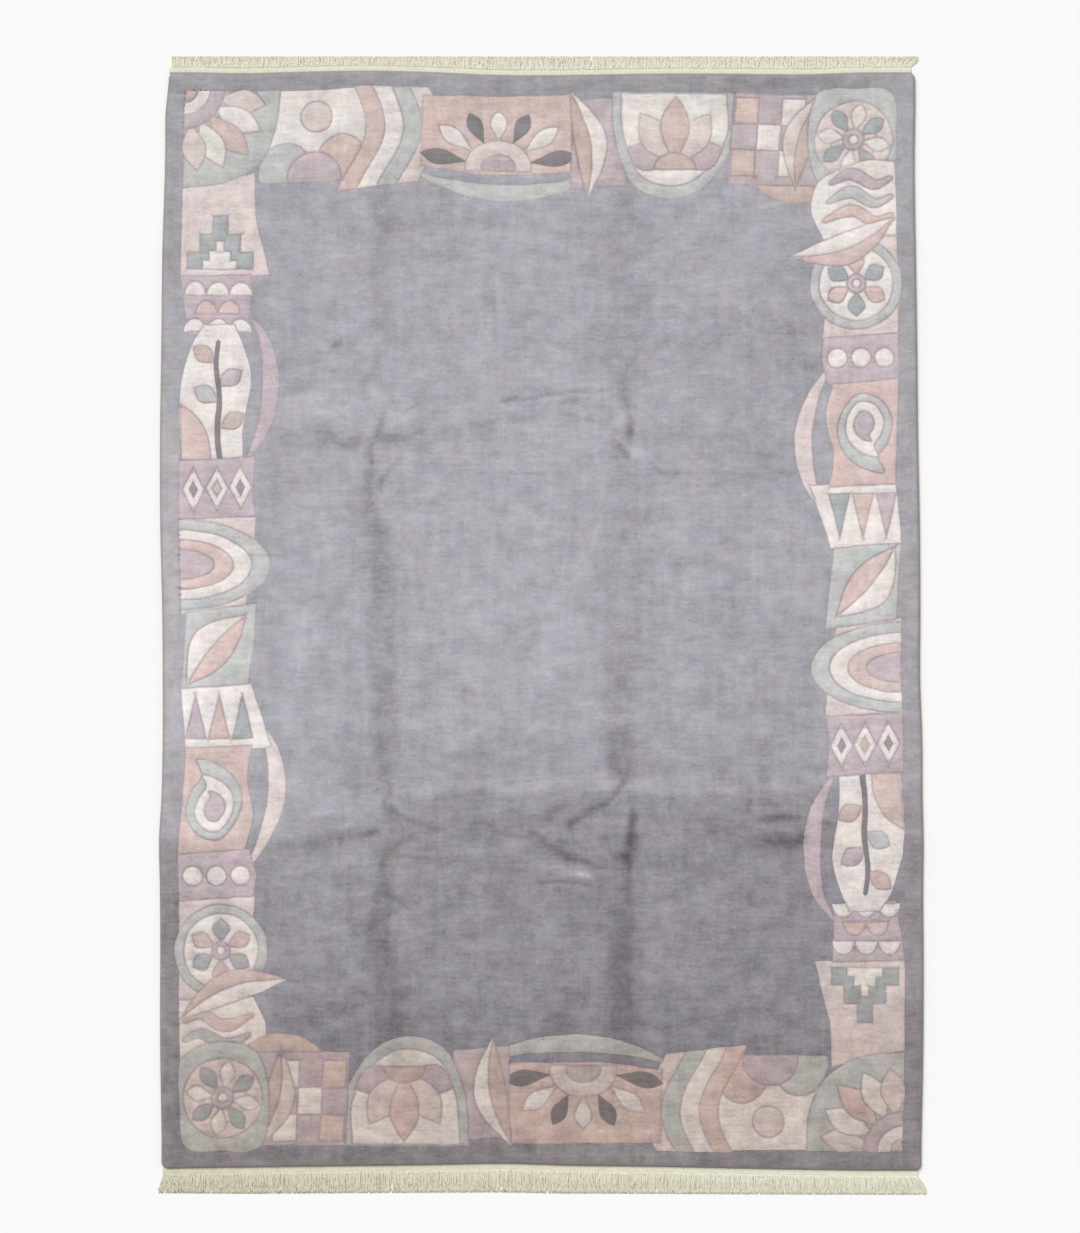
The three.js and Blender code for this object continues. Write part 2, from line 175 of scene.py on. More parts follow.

# Thin creases and marks between the folds, in the same form, whose tones are painted shade and painted light.
CREASES = (
    ((-554, 721, 6, -26), (-541, 726, 8, -34), (-528, 729, 6, -26)),
    ((-440, 713, 11, -6), (-437, 670, 11, -12), (-439, 638, 10, -8)),
    ((-461, 632, 12, -10), (-469, 600, 13, -14), (-468, 574, 11, -6)),
    ((-591, 488, 8, -8), (-569, 480, 12, -16), (-548, 467, 11, -20), (-524, 451, 12, -18),
     (-500, 448, 11, -10)),
    ((-500, 467, 8, -6), (-463, 464, 11, -12)),
    ((-412, 552, 6, -8), (-418, 531, 8, -20), (-423, 509, 10, -24), (-434, 483, 12, -22),
     (-449, 456, 13, -30), (-455, 427, 12, -36), (-449, 405, 6, -30)),
    ((-449, 421, 6, -12), (-447, 408, 5, -16)),
    ((-388, 397, 7, -12), (-404, 381, 9, -22), (-423, 357, 9, -36)),
    ((-362, 411, 5, -4), (-388, 403, 6, -10)),
    ((-457, 365, 11, -14), (-454, 317, 13, -10), (-452, 253, 13, -4)),
    ((-426, 472, 9, -12), (-394, 472, 12, -26), (-367, 469, 11, -20), (-338, 480, 9, -16),
     (-308, 499, 7, -12)),
    ((-367, 539, 4, -10), (-348, 550, 5, -20), (-330, 563, 6, -30)),
    ((-330, 563, 4, -6), (-303, 552, 4, -6)),
    ((-255, 467, 8, -6), (-191, 475, 11, -7), (-138, 477, 8, -3)),
    ((-170, 509, 8, -10), (-138, 512, 9, -14), (-109, 517, 7, -8)),
    ((-117, 568, 5, -10), (-90, 574, 7, -26), (-61, 579, 6, -28)),
    ((-47, 574, 4, -14), (-10, 582, 4, -20), (33, 590, 4, -14)),
    ((43, 592, 5, -12), (75, 598, 6, -18), (118, 598, 7, -22), (152, 598, 6, -16), (198, 603, 6, -8)),
    ((54, 563, 7, -8), (80, 571, 9, -20), (110, 574, 8, -18), (134, 584, 7, -12)),
    ((54, 552, 9, -8), (83, 531, 9, -10), (134, 520, 9, -9), (176, 501, 8, -6)),
    ((59, 614, 5, 5), (107, 614, 5, 8), (139, 611, 5, 4)),
    ((214, 643, 12, -12), (219, 616, 13, -18), (224, 590, 11, -14), (232, 568, 9, -24),
     (235, 541, 8, -12), (240, 520, 9, -36), (243, 493, 11, -44), (238, 472, 11, -22)),
    ((251, 638, 11, -9), (278, 638, 11, -10)),
    ((182, 504, 8, -10), (208, 491, 11, -16), (235, 483, 11, -14)),
    ((208, 456, 9, -34), (219, 440, 9, -26), (227, 427, 9, -38)),
    ((160, 419, 6, -5), (203, 419, 8, -12)),
    ((251, 435, 9, 8), (269, 432, 9, 5)),
    ((176, 547, 13, 4), (203, 525, 11, 5)),
    ((283, 440, 5, -5), (325, 440, 5, -6)),
    ((296, 408, 6, -10), (320, 378, 7, -22), (347, 376, 6, -18), (378, 381, 6, -14), (426, 378, 5, -8),
     (533, 378, 5, -6)),
    ((543, 376, 5, -6), (575, 373, 9, -20), (602, 378, 5, -6), (746, 381, 5, -6)),
    ((320, 614, 4, 5), (427, 614, 4, 5)),
    ((-93, 381, 4, -10), (-53, 381, 4, -18), (-10, 378, 4, -16), (64, 376, 4, -9)),
    ((51, 370, 5, -5), (91, 352, 5, -7)),
    ((267, 400, 8, -4), (293, 386, 8, -4)),
    ((-399, -445, 7, -6), (-402, -463, 9, -18), (-412, -490, 7, -22), (-410, -506, 7, -28)),
    ((-407, -426, 11, -6), (-397, -458, 13, -10)),
    ((-397, -516, 8, -16), (-370, -529, 9, -22), (-349, -540, 8, -18)),
    ((-314, -551, 6, -10), (-291, -561, 8, -20), (-269, -566, 6, -14), (-243, -564, 5, -8),
     (-216, -553, 4, -7)),
    ((-264, -522, 5, 4), (-222, -506, 5, 5)),
    ((-161, -548, 8, -10), (-140, -558, 11, -24), (-113, -569, 8, -14), (-63, -580, 7, -10)),
    ((-291, -492, 5, -6), (-248, -485, 5, -5), (-153, -471, 6, -7)),
    ((-148, -479, 5, -5), (-132, -490, 7, -5), (-148, -511, 5, -4)),
    ((-90, -448, 6, -12), (-74, -442, 6, -16), (-34, -440, 5, -12)),
    ((-108, -458, 8, 7), (-105, -522, 8, 7)),
    ((-555, -590, 8, -8), (-526, -598, 9, -20), (-502, -590, 8, -8)),
    ((-470, -585, 6, -16), (-449, -577, 8, -32), (-428, -569, 5, -16)),
    ((-431, -590, 10, 14), (-407, -587, 10, 18), (-386, -585, 8, 10)),
    ((-338, -582, 8, -18), (-359, -595, 12, -24), (-386, -624, 10, -24)),
    ((-399, -611, 9, -22), (-407, -632, 12, -42), (-415, -659, 9, -40)),
    ((-465, -643, 16, 8), (-454, -680, 13, 10)),
    ((-407, -653, 8, 12), (-370, -667, 8, 12)),
    ((-378, -635, 5, -12), (-349, -640, 6, -26), (-314, -645, 6, -20), (-280, -640, 4, -4)),
    ((-349, -627, 4, 5), (-306, -630, 4, 5)),
    ((-660, -698, 7, -18), (-629, -696, 6, -16), (-608, -688, 5, -10)),
    ((-417, -674, 9, -20), (-409, -706, 12, -22), (-393, -743, 12, -20), (-359, -751, 11, -12)),
    ((-446, -746, 7, -14), (-433, -754, 7, -14)),
    ((-534, -711, 8, -6), (-502, -725, 11, -10)),
    ((-264, -680, 11, -5), (-190, -711, 11, -5)),
    ((-155, -722, 7, -10), (-140, -727, 7, -16)),
    ((-116, -669, 13, -4), (-79, -701, 13, -6)),
    ((231, -376, 6, -14), (236, -405, 6, -18), (228, -434, 7, -22), (212, -455, 8, -30),
     (196, -479, 7, -30), (175, -500, 9, -32), (143, -516, 10, -36), (114, -529, 12, -42),
     (80, -553, 10, -42)),
    ((210, -374, 5, -12), (212, -421, 6, -14), (223, -442, 6, -14)),
    ((189, -358, 11, -10), (186, -405, 11, -14)),
    ((112, -469, 4, -8), (154, -471, 5, -16), (191, -469, 5, -14)),
    ((80, -558, 5, -18), (32, -553, 5, -12), (-26, -558, 4, -10)),
    ((-23, -569, 8, -14), (1, -587, 11, -24), (24, -609, 12, -26), (43, -627, 12, -42),
     (69, -638, 12, -44), (96, -645, 10, -30), (127, -656, 9, -32), (154, -664, 8, -34),
     (175, -667, 5, -10)),
    ((85, -558, 7, -12), (88, -595, 6, -14), (112, -616, 7, -12)),
    ((154, -585, 8, -12), (175, -593, 8, -12)),
    ((122, -622, 5, -10), (127, -648, 5, -12)),
    ((11, -661, 12, 14), (53, -672, 13, 24), (98, -685, 12, 34), (135, -696, 10, 38)),
    ((-5, -709, 5, -14), (43, -703, 5, -22), (96, -709, 5, -22), (138, -719, 5, -14)),
    ((43, -727, 9, -14), (64, -748, 9, -14)),
    ((244, -511, 6, -30), (244, -535, 12, -66), (241, -574, 16, -82), (239, -611, 17, -84),
     (231, -640, 15, -76), (236, -664, 10, -50)),
    ((186, -630, 9, -14), (207, -638, 10, -28), (220, -643, 9, -30)),
    ((236, -669, 7, -24), (236, -711, 7, -24), (233, -759, 7, -16)),
    ((249, -669, 8, -10), (265, -696, 8, -8)),
    ((260, -469, 10, 6), (281, -469, 10, 6)),
    ((297, -500, 11, -10), (300, -537, 11, -12)),
    ((387, -545, 7, -14), (419, -543, 8, -20), (456, -540, 7, -18), (482, -537, 6, -10)),
    ((408, -506, 11, -8), (435, -511, 11, -8)),
    ((554, -495, 6, -20), (551, -511, 9, -36), (548, -527, 7, -20)),
    ((604, -500, 9, -12), (628, -508, 9, -18)),
    ((588, -545, 9, -34), (620, -540, 10, -42), (657, -537, 10, -40), (689, -535, 7, -30)),
    ((699, -535, 6, 10), (763, -529, 6, 16)),
    ((561, -614, 9, -16), (588, -609, 10, -18)),
    ((598, -598, 11, -34), (635, -603, 13, -46), (672, -603, 13, -48), (699, -595, 10, -40)),
    ((657, -632, 8, -18), (662, -656, 7, -12)),
    ((599, -569, 6, 6), (683, -569, 6, 6)),
    ((379, -635, 8, -18), (384, -664, 8, -16)),
    ((405, -659, 7, -10), (413, -674, 7, -10)),
    ((498, -506, 4, 6), (506, -564, 4, 6)),
    ((742, -548, 6, -14), (773, -551, 6, -16)),
    ((535, -701, 5, -6), (550, -743, 5, -6)),
    ((566, 649, 8, -6), (608, 659, 8, -6)),
    ((694, 675, 11, -10), (726, 665, 13, -20), (747, 662, 11, -14)),
    ((614, 681, 11, -5), (656, 670, 11, -5)),
    ((-607, 702, 8, -5), (-570, 702, 8, -6)),
    ((-671, -769, 11, -5), (-555, -759, 11, -5)),
    ((-494, -748, 8, -8), (-499, -801, 9, -18), (-491, -848, 8, -8)),
    ((-444, -754, 9, -7), (-438, -832, 9, -7)),
    ((-380, -767, 11, -6), (-377, -1121, 11, -6)),
    ((-247, -1121, 11, -4), (-184, -1137, 11, -4)),
    ((265, -754, 8, -5), (423, -738, 8, -5)),
    ((-253, -696, 7, -10), (-232, -706, 7, -8)),
    ((-169, -711, 8, -14), (-148, -717, 8, -10)),
    ((-407, -585, 4, -3), (-402, -606, 4, -5)),
    ((-539, -548, 13, -10), (-502, -543, 13, -10)),
    ((238, -977, 8, -6), (241, -1043, 8, -6)),
    ((161, 842, 4, -3), (166, 574, 4, -3)),
    ((-125, 938, 4, -3), (-122, 681, 4, -3)),
    ((578, 253, 5, -4), (579, -13, 5, -5)),
    ((-245, 842, 5, -3), (-242, 649, 5, -3)),
)

# Areas where the pile was brushed or trodden, painted lighter (above zero) or darker as painted light and
# shade of its lay, in millimetres from the pile's middle: middle, half sizes and tone.
LAY_SHADE_AREAS = (
    # x, y, half width, half length, tone
    (-640, 847, 85, 80, 0.05),
    (-459, 882, 32, 64, 0.05),
    (-277, 885, 80, 32, 0.05),
    (-160, 965, 64, 32, 0.05),
    (1, 600, 239, 64, 0.02),
    (-53, 147, 319, 346, 0.035),
    (54, 306, 160, 106, 0.01),
    (528, 627, 239, 160, -0.04),
    (600, 435, 154, 74, -0.06),
    (710, 842, 64, 239, -0.10),
    (557, -199, 253, 213, -0.06),
    (-641, 1111, 106, 106, -0.03),
    (-240, 793, 90, 53, -0.03),
    (-132, -384, 452, 59, -0.075),
    (-460, -389, 53, 90, -0.06),
    (583, -411, 239, 69, -0.10),
    (551, -564, 255, 80, -0.11),
    (566, 729, 160, 69, -0.05),
    (-986, 1070, 64, 266, -0.07),
    (761, 1429, 223, 37, -0.06),
    (500, -13, 117, 160, -0.02),
    (528, 467, 160, 106, -0.04),
    (542, -977, 160, 133, -0.03),
    (556, -754, 160, 59, -0.06),
    (265, -759, 117, 48, 0.04),
    (292, -395, 117, 59, -0.05),
    (-305, 147, 117, 64, -0.04),
    (-291, -469, 133, 122, -0.035),
    (-502, -643, 90, 35, 0.07),
    (-554, -832, 160, 176, 0.085),
    (-317, -767, 106, 69, 0.02),
    (-527, -1048, 213, 90, -0.07),
    (529, -911, 239, 133, -0.03),
    (541, -1027, 133, 48, -0.05),
    (349, -754, 96, 69, 0.02),
    (-369, -1016, 80, 160, -0.03),
    (16, -885, 59, 43, -0.06),
    (-970, 240, 64, 426, 0.13),
    (-967, -278, 64, 239, 0.14),
    (-963, -911, 64, 505, -0.09),
    (975, 493, 64, 718, -0.06),
    (967, -911, 64, 505, 0.03),
    (-790, 1429, 239, 37, -0.14),
    (657, 1429, 239, 37, -0.14),
    (1, 1421, 1011, 53, -0.16),
    (-684, -1427, 346, 32, -0.09),
    (133, -395, 612, 59, -0.055),
    (520, 499, 48, 64, -0.07),
    (655, 435, 37, 32, -0.07),
    (208, 579, 48, 32, -0.10),
    (-584, 213, 133, 80, 0.06),
    (-462, 213, 37, 64, 0.05),
    (-636, -119, 53, 160, 0.09),
    (-602, -748, 106, 59, 0.09),
    (-106, 1070, 37, 48, -0.07),
    (-53, 659, 48, 37, 0.07),
    (43, -199, 37, 133, -0.08),
    (397, -767, 43, 37, 0.08),
    (333, -846, 43, 80, 0.06),
    (-333, -622, 37, 24, -0.09),
    (-148, -627, 32, 21, 0.08),
    (-638, -1069, 74, 59, -0.08),
    (69, -1069, 80, 64, -0.07),
    (610, -469, 133, 27, -0.05),
    (701, -1427, 293, 32, -0.04),
)

# The lower third was folded under, and past an uneven line across the rug its pile is painted darker, as
# painted shade of its lay: x and y in millimetres from the pile's middle.
DARK_EDGE = ((-793, -585), (-661, -566), (-529, -558), (-444, -540), (-402, -495), (-296, -487), (-264, -471),
             (-153, -458), (-100, -482), (-52, -479), (1, -466), (159, -463), (265, -471), (424, -474),
             (610, -466), (795, -463))
# Its length in millimetres, and its painted shade: past the line, over its first quarter, and towards its
# end.
DARK_LENGTH = 980
DARK_TONE = -0.25
DARK_TONE_BELOW = -0.13
DARK_TONE_AT_END = -0.16

# Yarn colours as they look in daylight: red, green and blue from 0 to 255.
YARNS = {
    "grey": (170, 168, 175),
    "guard": (171, 166, 171),
    "cream": (227, 218, 212),
    "blush": (216, 201, 196),
    "salmon": (209, 187, 180),
    "tan": (199, 179, 171),
    "sage": (192, 191, 188),
    "slate": (170, 172, 171),
    "mauve": (193, 178, 181),
    "plum": (163, 150, 154),
    "charcoal": (137, 130, 131),
}
# The ground outside the border is warmer towards the lower end and cooler towards the upper: y in metres
# on the plan, and the colour.
GUARD_ALONG = (
    (-1.44, (171, 166, 168)),
    (-0.90, (171, 166, 171)),
    (0.40, (171, 166, 171)),
    (1.43, (168, 167, 172)),
)
# The border's yarns are lighter and cooler along the sides and darker and warmer at the lower end: y in
# metres on the plan, and how much of their red, green and blue light they keep.
BORDER_ALONG = (
    (-1.43, (0.890, 0.860, 0.825)),
    (-1.18, (0.900, 0.870, 0.840)),
    (-1.05, (0.950, 0.940, 0.935)),
    (-0.85, (1.030, 1.035, 1.055)),
    (-0.50, (1.065, 1.075, 1.110)),
    (0.40, (1.060, 1.070, 1.105)),
    (1.05, (1.035, 1.050, 1.080)),
    (1.20, (0.980, 1.000, 1.015)),
    (1.43, (0.975, 0.998, 1.012)),
)
# How strongly a clipped line shows, in its depth and in the painted shade of its groove: less by the
# ground, least between the ground and cream, and little round a figure in dark yarn. Points off the lines
# count as in between.
LINE_ON_GROUND = 0.30
LINE_BY_CREAM_GROUND = 0.10
LINE_BY_FIGURE = 0.20
LINE_BETWEEN = 0.62
OFF_THE_LINES = 0.4
# How far light yarns follow the ground's painted light and shade, as a power of it.
LIGHT_YARN_LAY_SHADE = 0.35
# Painted shade in a clipped groove, with a dusky tint of its own.
GROOVE_SHADE = (160, 140, 145)
# Painted shade along the pile's rounded edge.
EDGE_SHADE = (138, 136, 126)
COTTON = (242, 240, 223)
# The brown of soiled and duller yarns, also painted shade on yarns that lie under others.
COTTON_SOIL_AND_SHADE = (190, 180, 142)
# Brown flecks: partly soiling, partly painted shade in the gaps between yarns.
FLECKS = (150, 140, 104)
FLOOR_WHITE = 0.96


def daylight(red, green, blue):
    """A colour of the 0 to 255 scale as linear light, by the sRGB curve."""
    share = np.array((red, green, blue)) / 255
    low = share / 12.92
    high = ((share + 0.055) / 1.055) ** 2.4
    return tuple(np.where(share <= 0.04045, low, high)) + (1.0,)


# How the pile lies, and its painted light and shade: uneven values, the imported outline, folds and tones

def smooth_step(low, high, value):
    """From 0 at low to 1 at high, level at both ends: 3 t^2 - 2 t^3."""
    t = np.clip((value - low) / (high - low), 0, 1)
    return t * t * (3 - 2 * t)


LATTICE = (97, 89)
LATTICE_SHIFT = (512.37, 512.71)


def drift(x, y, size, seed):
    """Soft uneven values from -1 to 1: random numbers at the corners of a lattice of squares, blended
    smoothly between. The lattice is laid again and again over the plane, and its shift keeps the rug off
    its first row."""
    lattice = np.random.default_rng(seed).uniform(-1, 1, LATTICE)
    u = np.asarray(x) / size + LATTICE_SHIFT[0]
    v = np.asarray(y) / size + LATTICE_SHIFT[1]
    i = np.floor(u).astype(int)
    j = np.floor(v).astype(int)
    s = smooth_step(0, 1, u - i)
    t = smooth_step(0, 1, v - j)
    i0, i1, j0, j1 = i % LATTICE[0], (i + 1) % LATTICE[0], j % LATTICE[1], (j + 1) % LATTICE[1]
    near = lattice[i0, j0] * (1 - s) + lattice[i1, j0] * s
    far = lattice[i0, j1] * (1 - s) + lattice[i1, j1] * s
    return near * (1 - t) + far * t


def solid_floor_line():
    """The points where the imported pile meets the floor, in metres."""
    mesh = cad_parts["rug_pile"].data
    points = np.empty(len(mesh.vertices) * 3)
    mesh.vertices.foreach_get("co", points)
    points = points.reshape(-1, 3)
    return np.unique(np.round(points[points[:, 2] < FLOOR_LEVEL, :2], 6), axis=0)


def edge_lines():
    """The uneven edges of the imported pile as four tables: x by y for both sides, y by x for both ends."""
    rim = solid_floor_line() - (0, PILE_MIDDLE_Y)
    on_side = np.abs(rim[:, 1]) < PILE_LENGTH / 2 - CORNER_RADIUS
    on_end = np.abs(rim[:, 0]) < PILE_WIDTH / 2 - CORNER_RADIUS
    tables = {}
    for name, chosen, along in (
        ("left", on_side & (rim[:, 0] < 0), 1),
        ("right", on_side & (rim[:, 0] > 0), 1),
        ("bottom", on_end & (rim[:, 1] < 0), 0),
        ("top", on_end & (rim[:, 1] > 0), 0),
    ):
        line = rim[chosen]
        line = line[np.argsort(line[:, along])]
        tables[name] = (line[:, along], line[:, 1 - along])
    return tables


EDGES = edge_lines()


def on_rug(a, b):
    """A point of the straight plan on the rug's uneven outline: shared out between opposite edges."""
    pulled_in = CORNER_PULLED_IN * smooth_step(CORNER_PULLED_FROM, PILE_LENGTH / 2, b)
    left = np.interp(b, *EDGES["left"]) + pulled_in
    right = np.interp(b, *EDGES["right"])
    bottom = np.interp(a, *EDGES["bottom"])
    top = np.interp(a, *EDGES["top"])
    x = left + (right - left) * (a / PILE_WIDTH + 0.5)
    y = bottom + (top - bottom) * (b / PILE_LENGTH + 0.5)
    return x, y + PILE_MIDDLE_Y


def wander(x, y):
    """How far marks stray from their lines, at places in millimetres: up to 2.6 mm over stretches of
    30 mm, and up to 1.5 mm over stretches of 11 mm."""
    return [2.6 * drift(x, y, 30, seed) + 1.5 * drift(x, y, 11, seed + 1) for seed in (5, 7)]


def tone_of(tone, spread):
    """How much darker or lighter a mark is painted, however wide it is: its painted shade or painted light.
    """
    return tone


def rise_of(tone, spread):
    """How high a mark stands above the pile, in millimetres: the darker and the wider, the deeper."""
    return np.clip(tone * (3.5 + 0.3 * spread), -3.0, 3.0)


def strength_of(tone, spread):
    """How plainly a mark shows, whether dark or light."""
    return np.abs(tone)


def bells(x, y, marks, weigh, power=1.0, broken=0.0):
    """The sum of all marks of a table at places in metres. Across its line each mark is a bell,
    weigh(tone, spread) * exp(-(distance / spread)^(2 power)), which is flatter in the middle for a power
    over 1. The marks stray a little, and their spread and strength change unevenly along them. A mark
    isn't looked for further out than 2.6 times its spread."""
    x = x / MM
    y = y / MM
    shift_x, shift_y = wander(x, y)
    strength = 1 + broken * (drift(x, y, 44, 9) + 0.7 * drift(x, y, 15, 10))
    wide = 1 + 0.2 * drift(x, y, 36, 11)
    at = np.column_stack([x + shift_x, y + shift_y])
    total = np.zeros(len(at))
    for line in marks:
        corners = np.array(line, float)
        reach = 2.6 * corners[:, 2:3]
        low, high = (corners[:, :2] - reach).min(0), (corners[:, :2] + reach).max(0)
        near = np.flatnonzero(np.all((at > low) & (at < high), axis=1))
        most = np.zeros(len(near))
        for start, end in zip(corners[:-1], corners[1:]):
            run = end - start
            off = at[near] - start[:2]
            share = np.clip(off @ run[:2] / (run[:2] @ run[:2]), 0, 1)
            away = ((off - share[:, None] * run[:2]) ** 2).sum(1)
            spread = start[2] + share * run[2]
            here = weigh((start[3] + share * run[3]) / 100, spread)
            here = here * np.exp(-((away / (spread * wide[near]) ** 2) ** power))
            most = np.where(np.abs(here) > np.abs(most), here, most)
        total[near] += most
    return total * strength


def all_marks(x, y, weigh):
    """The folds, which are flat in the middle, and the creases, which are more broken, at places measured
    from the pile's middle."""
    return bells(x, y, FOLDS, weigh, 1.6, 0.12) + bells(x, y, CREASES, weigh, 1.0, 0.2)


def marked(x, y):
    """How strongly folds or creases mark the pile, whether dark or light."""
    return bells(x, y, FOLDS + CREASES, strength_of)


def past_dark_line(x, y):
    """How far a place lies past the uneven line where the pile turns darker, in millimetres."""
    ragged = 4 * drift(x, y, 0.045, 21) + 3 * drift(x, y, 0.016, 22)
    return np.interp(x / MM, *np.transpose(DARK_EDGE)) + ragged - y / MM


def painted_lay_shade(x, y):
    """How bright the pile is painted at each place, 1 where it bears no mark: painted shade and light of fold
    marks and brushed areas, and old wear. At the dark line it changes over 21 mm to each side, and over 39 mm
    at the far left, give or take 9 mm. Towards the rug's lower end it gets darker from 0.48 to 0.70 of
    DARK_LENGTH, as painted shade."""
    tone = all_marks(x, y, tone_of)
    for area_x, area_y, half_width, half_length, strength in LAY_SHADE_AREAS:
        from_middle = ((x / MM - area_x) / half_width) ** 2 + ((y / MM - area_y) / half_length) ** 2
        tone += strength * np.exp(-from_middle)
    past = past_dark_line(x, y)
    down = past / DARK_LENGTH
    soft = 21 + 18 * smooth_step(400, 460, -x / MM) + 9 * drift(x, y, 0.130, 23)
    tone += DARK_TONE * smooth_step(-soft, soft, past) + DARK_TONE_BELOW * smooth_step(0, 0.25, down)
    tone += DARK_TONE_AT_END * smooth_step(0.48, 0.70, down)
    tone += 0.028 * drift(x, y, 0.140, 31) + 0.034 * drift(x, y, 0.060, 32)
    return np.exp(tone)


def pile_top(a, b):
    """The clipped surface of the pile: full height, the folds, and the unevenness of hand clipping."""
    x, y = on_rug(a, b)
    y = y - PILE_MIDDLE_Y
    uneven = 0.30 * drift(x, y, 0.090, 41) + 0.22 * drift(x, y, 0.026, 42)
    return PILE_HEIGHT + all_marks(x, y, rise_of) * MM + uneven * MM


# Drawing of the border, in centimetres from the border's upper left corner, x to the right and y down.
# Turns and angles are in degrees, from x towards y.

BORDER_WIDTH = 190.0
BORDER_LENGTH = 281.0
CURVE_STEP = 1.1


def bend(*points, closed=False):
    """A smooth curve through points: between two of them a cubic with slopes of half the neighbours' span."""
    p = np.array(points, float)
    if closed:
        before, start, end, after = np.roll(p, 1, 0), p, np.roll(p, -1, 0), np.roll(p, -2, 0)
    else:
        wide = np.vstack([2 * p[0] - p[1], p, 2 * p[-1] - p[-2]])
        before, start, end, after = wide[:-3], wide[1:-2], wide[2:-1], wide[3:]
    spans = np.hypot(*(end - start).T)
    pieces = []
    for b, s, e, a, span in zip(before, start, end, after, spans):
        t = np.linspace(0, 1, max(2, int(np.ceil(span / CURVE_STEP)) + 1))[:-1, None]
        cubic = 2 * s + (e - b) * t + (2 * b - 5 * s + 4 * e - a) * t**2 + (3 * s - b - 3 * e + a) * t**3
        pieces.append(cubic / 2)
    if not closed:
        pieces.append(p[-1:])
    return np.vstack(pieces)


def course(path):
    """At each point of a path, the direction along it and the direction to its side."""
    along = np.gradient(path, axis=0)
    along /= np.hypot(*along.T)[:, None]
    return along, np.column_stack([-along[:, 1], along[:, 0]])


def stroke(widths, *points):
    """A line of changing width along a smooth path, with blunt ends."""
    path = bend(*points)
    run = np.concatenate([[0], np.cumsum(np.hypot(*np.diff(path, axis=0).T))])
    half = np.interp(run / run[-1], np.linspace(0, 1, len(widths)), widths) / 2
    along, aside = course(path)
    side = aside * half[:, None]
    nose = path[-1:] + along[-1:] * half[-1] * 0.9
    tail = path[:1] - along[:1] * half[0] * 0.9
    return np.vstack([path + side, nose, (path - side)[::-1], tail])


def arc(x, y, across, down, start, end, step=CURVE_STEP):
    """Part of an ellipse from one angle to another."""
    count = max(5, int(abs(np.radians(end - start)) * max(across, down) / step) + 1)
    turn = np.radians(np.linspace(start, end, count))
    return np.column_stack([x + across * np.cos(turn), y + down * np.sin(turn)])


def dome(x, y, across, down):
    """The upper half of an ellipse."""
    return arc(x, y, across, down, 180, 360)


def disc(x, y, radius, step=CURVE_STEP):
    """A full circle."""
    return arc(x, y, radius, radius, 0, 360 * (1 - 1 / max(9, int(2 * np.pi * radius / step))), step)


def direction(turn):
    """One step along an angle."""
    return np.array((np.cos(np.radians(turn)), np.sin(np.radians(turn))))


def turned(outline, turn):
    """The outline turned round the origin."""
    x, y = direction(turn)
    return outline @ np.array([[x, y], [-y, x]])


def bulge(count, width, belly):
    """Half the width of a leaf at even shares of its length: a sine arc, widest at the share of its belly."""
    share = np.linspace(0, 1, count)
    return share, width / 2 * np.sin(np.pi * share ** (np.log(0.5) / np.log(belly)))


def petal(base, length, width, turn, belly=0.55):
    """A pointed leaf from its base along an angle: two arcs that meet at both ends."""
    share, half = bulge(max(5, int(length / CURVE_STEP) + 2), width, belly)
    upper = np.column_stack([share * length, half])
    lower = np.column_stack([share * length, -half])[-2:0:-1]
    return turned(np.vstack([upper, lower]), turn) + base


PATCHES = []


def patch(yarn, *parts):
    """Knots an area in one yarn, over what was drawn before. Its outline runs through its parts in turn,
    each a corner or a curve."""
    PATCHES.append((yarn, np.vstack(parts)))


def rosette(x, y, radius, leaves, yarns, heart, turn):
    """Leaves round a ring."""
    for k in range(leaves):
        angle = turn + 360 / leaves * k
        base = (x, y) + direction(angle) * radius * 0.2
        patch(yarns[k % len(yarns)], petal(base, radius * 0.8, radius * 3.25 / leaves, angle, 0.62))
    patch(heart[0], disc(x, y, radius * 0.3))
    patch(heart[1], disc(x, y, radius * 0.13, 0.6))


def two_tone(base, length, width, turn, upper_yarn, lower_yarn, curl):
    """A leaf in two yarns, split along a rib that curls to one side."""
    share, half = bulge(max(6, int(length / CURVE_STEP)), width, 0.5)
    rib = curl * np.sin(np.pi * share)
    upper, middle, lower = [turned(np.column_stack([share * length, rib + way * half]), turn) + base
                            for way in (-1, 0, 1)]
    patch(upper_yarn, upper, middle[-2:0:-1])
    patch(lower_yarn, middle, lower[-2:0:-1])


def sweep(yarn, width, *points):
    """A long curved leaf along a path, widest in the middle and pointed at both ends."""
    path = bend(*points)
    side = course(path)[1] * (width / 2 * np.sin(np.pi * np.linspace(0, 1, len(path))))[:, None]
    patch(yarn, path - side, (path + side)[-2:0:-1])


def inner_sweeps():
    """Long curved leaves on the side of the field, with ground showing behind some of them."""
    sweep("mauve", 4.4, (17.4, 59), (22.4, 67), (24.2, 78), (22.6, 90), (17, 101))
    sweep("blush", 4.6, (18, 166), (23.4, 175), (25.4, 187), (22.8, 199), (17, 209))
    sweep("sage", 4.6, (60, 21.6), (72, 25.6), (86, 27.2), (100, 25.6), (113, 21))
    sweep("tan", 7, (149, 20), (156, 25), (166, 26.4), (178, 22))


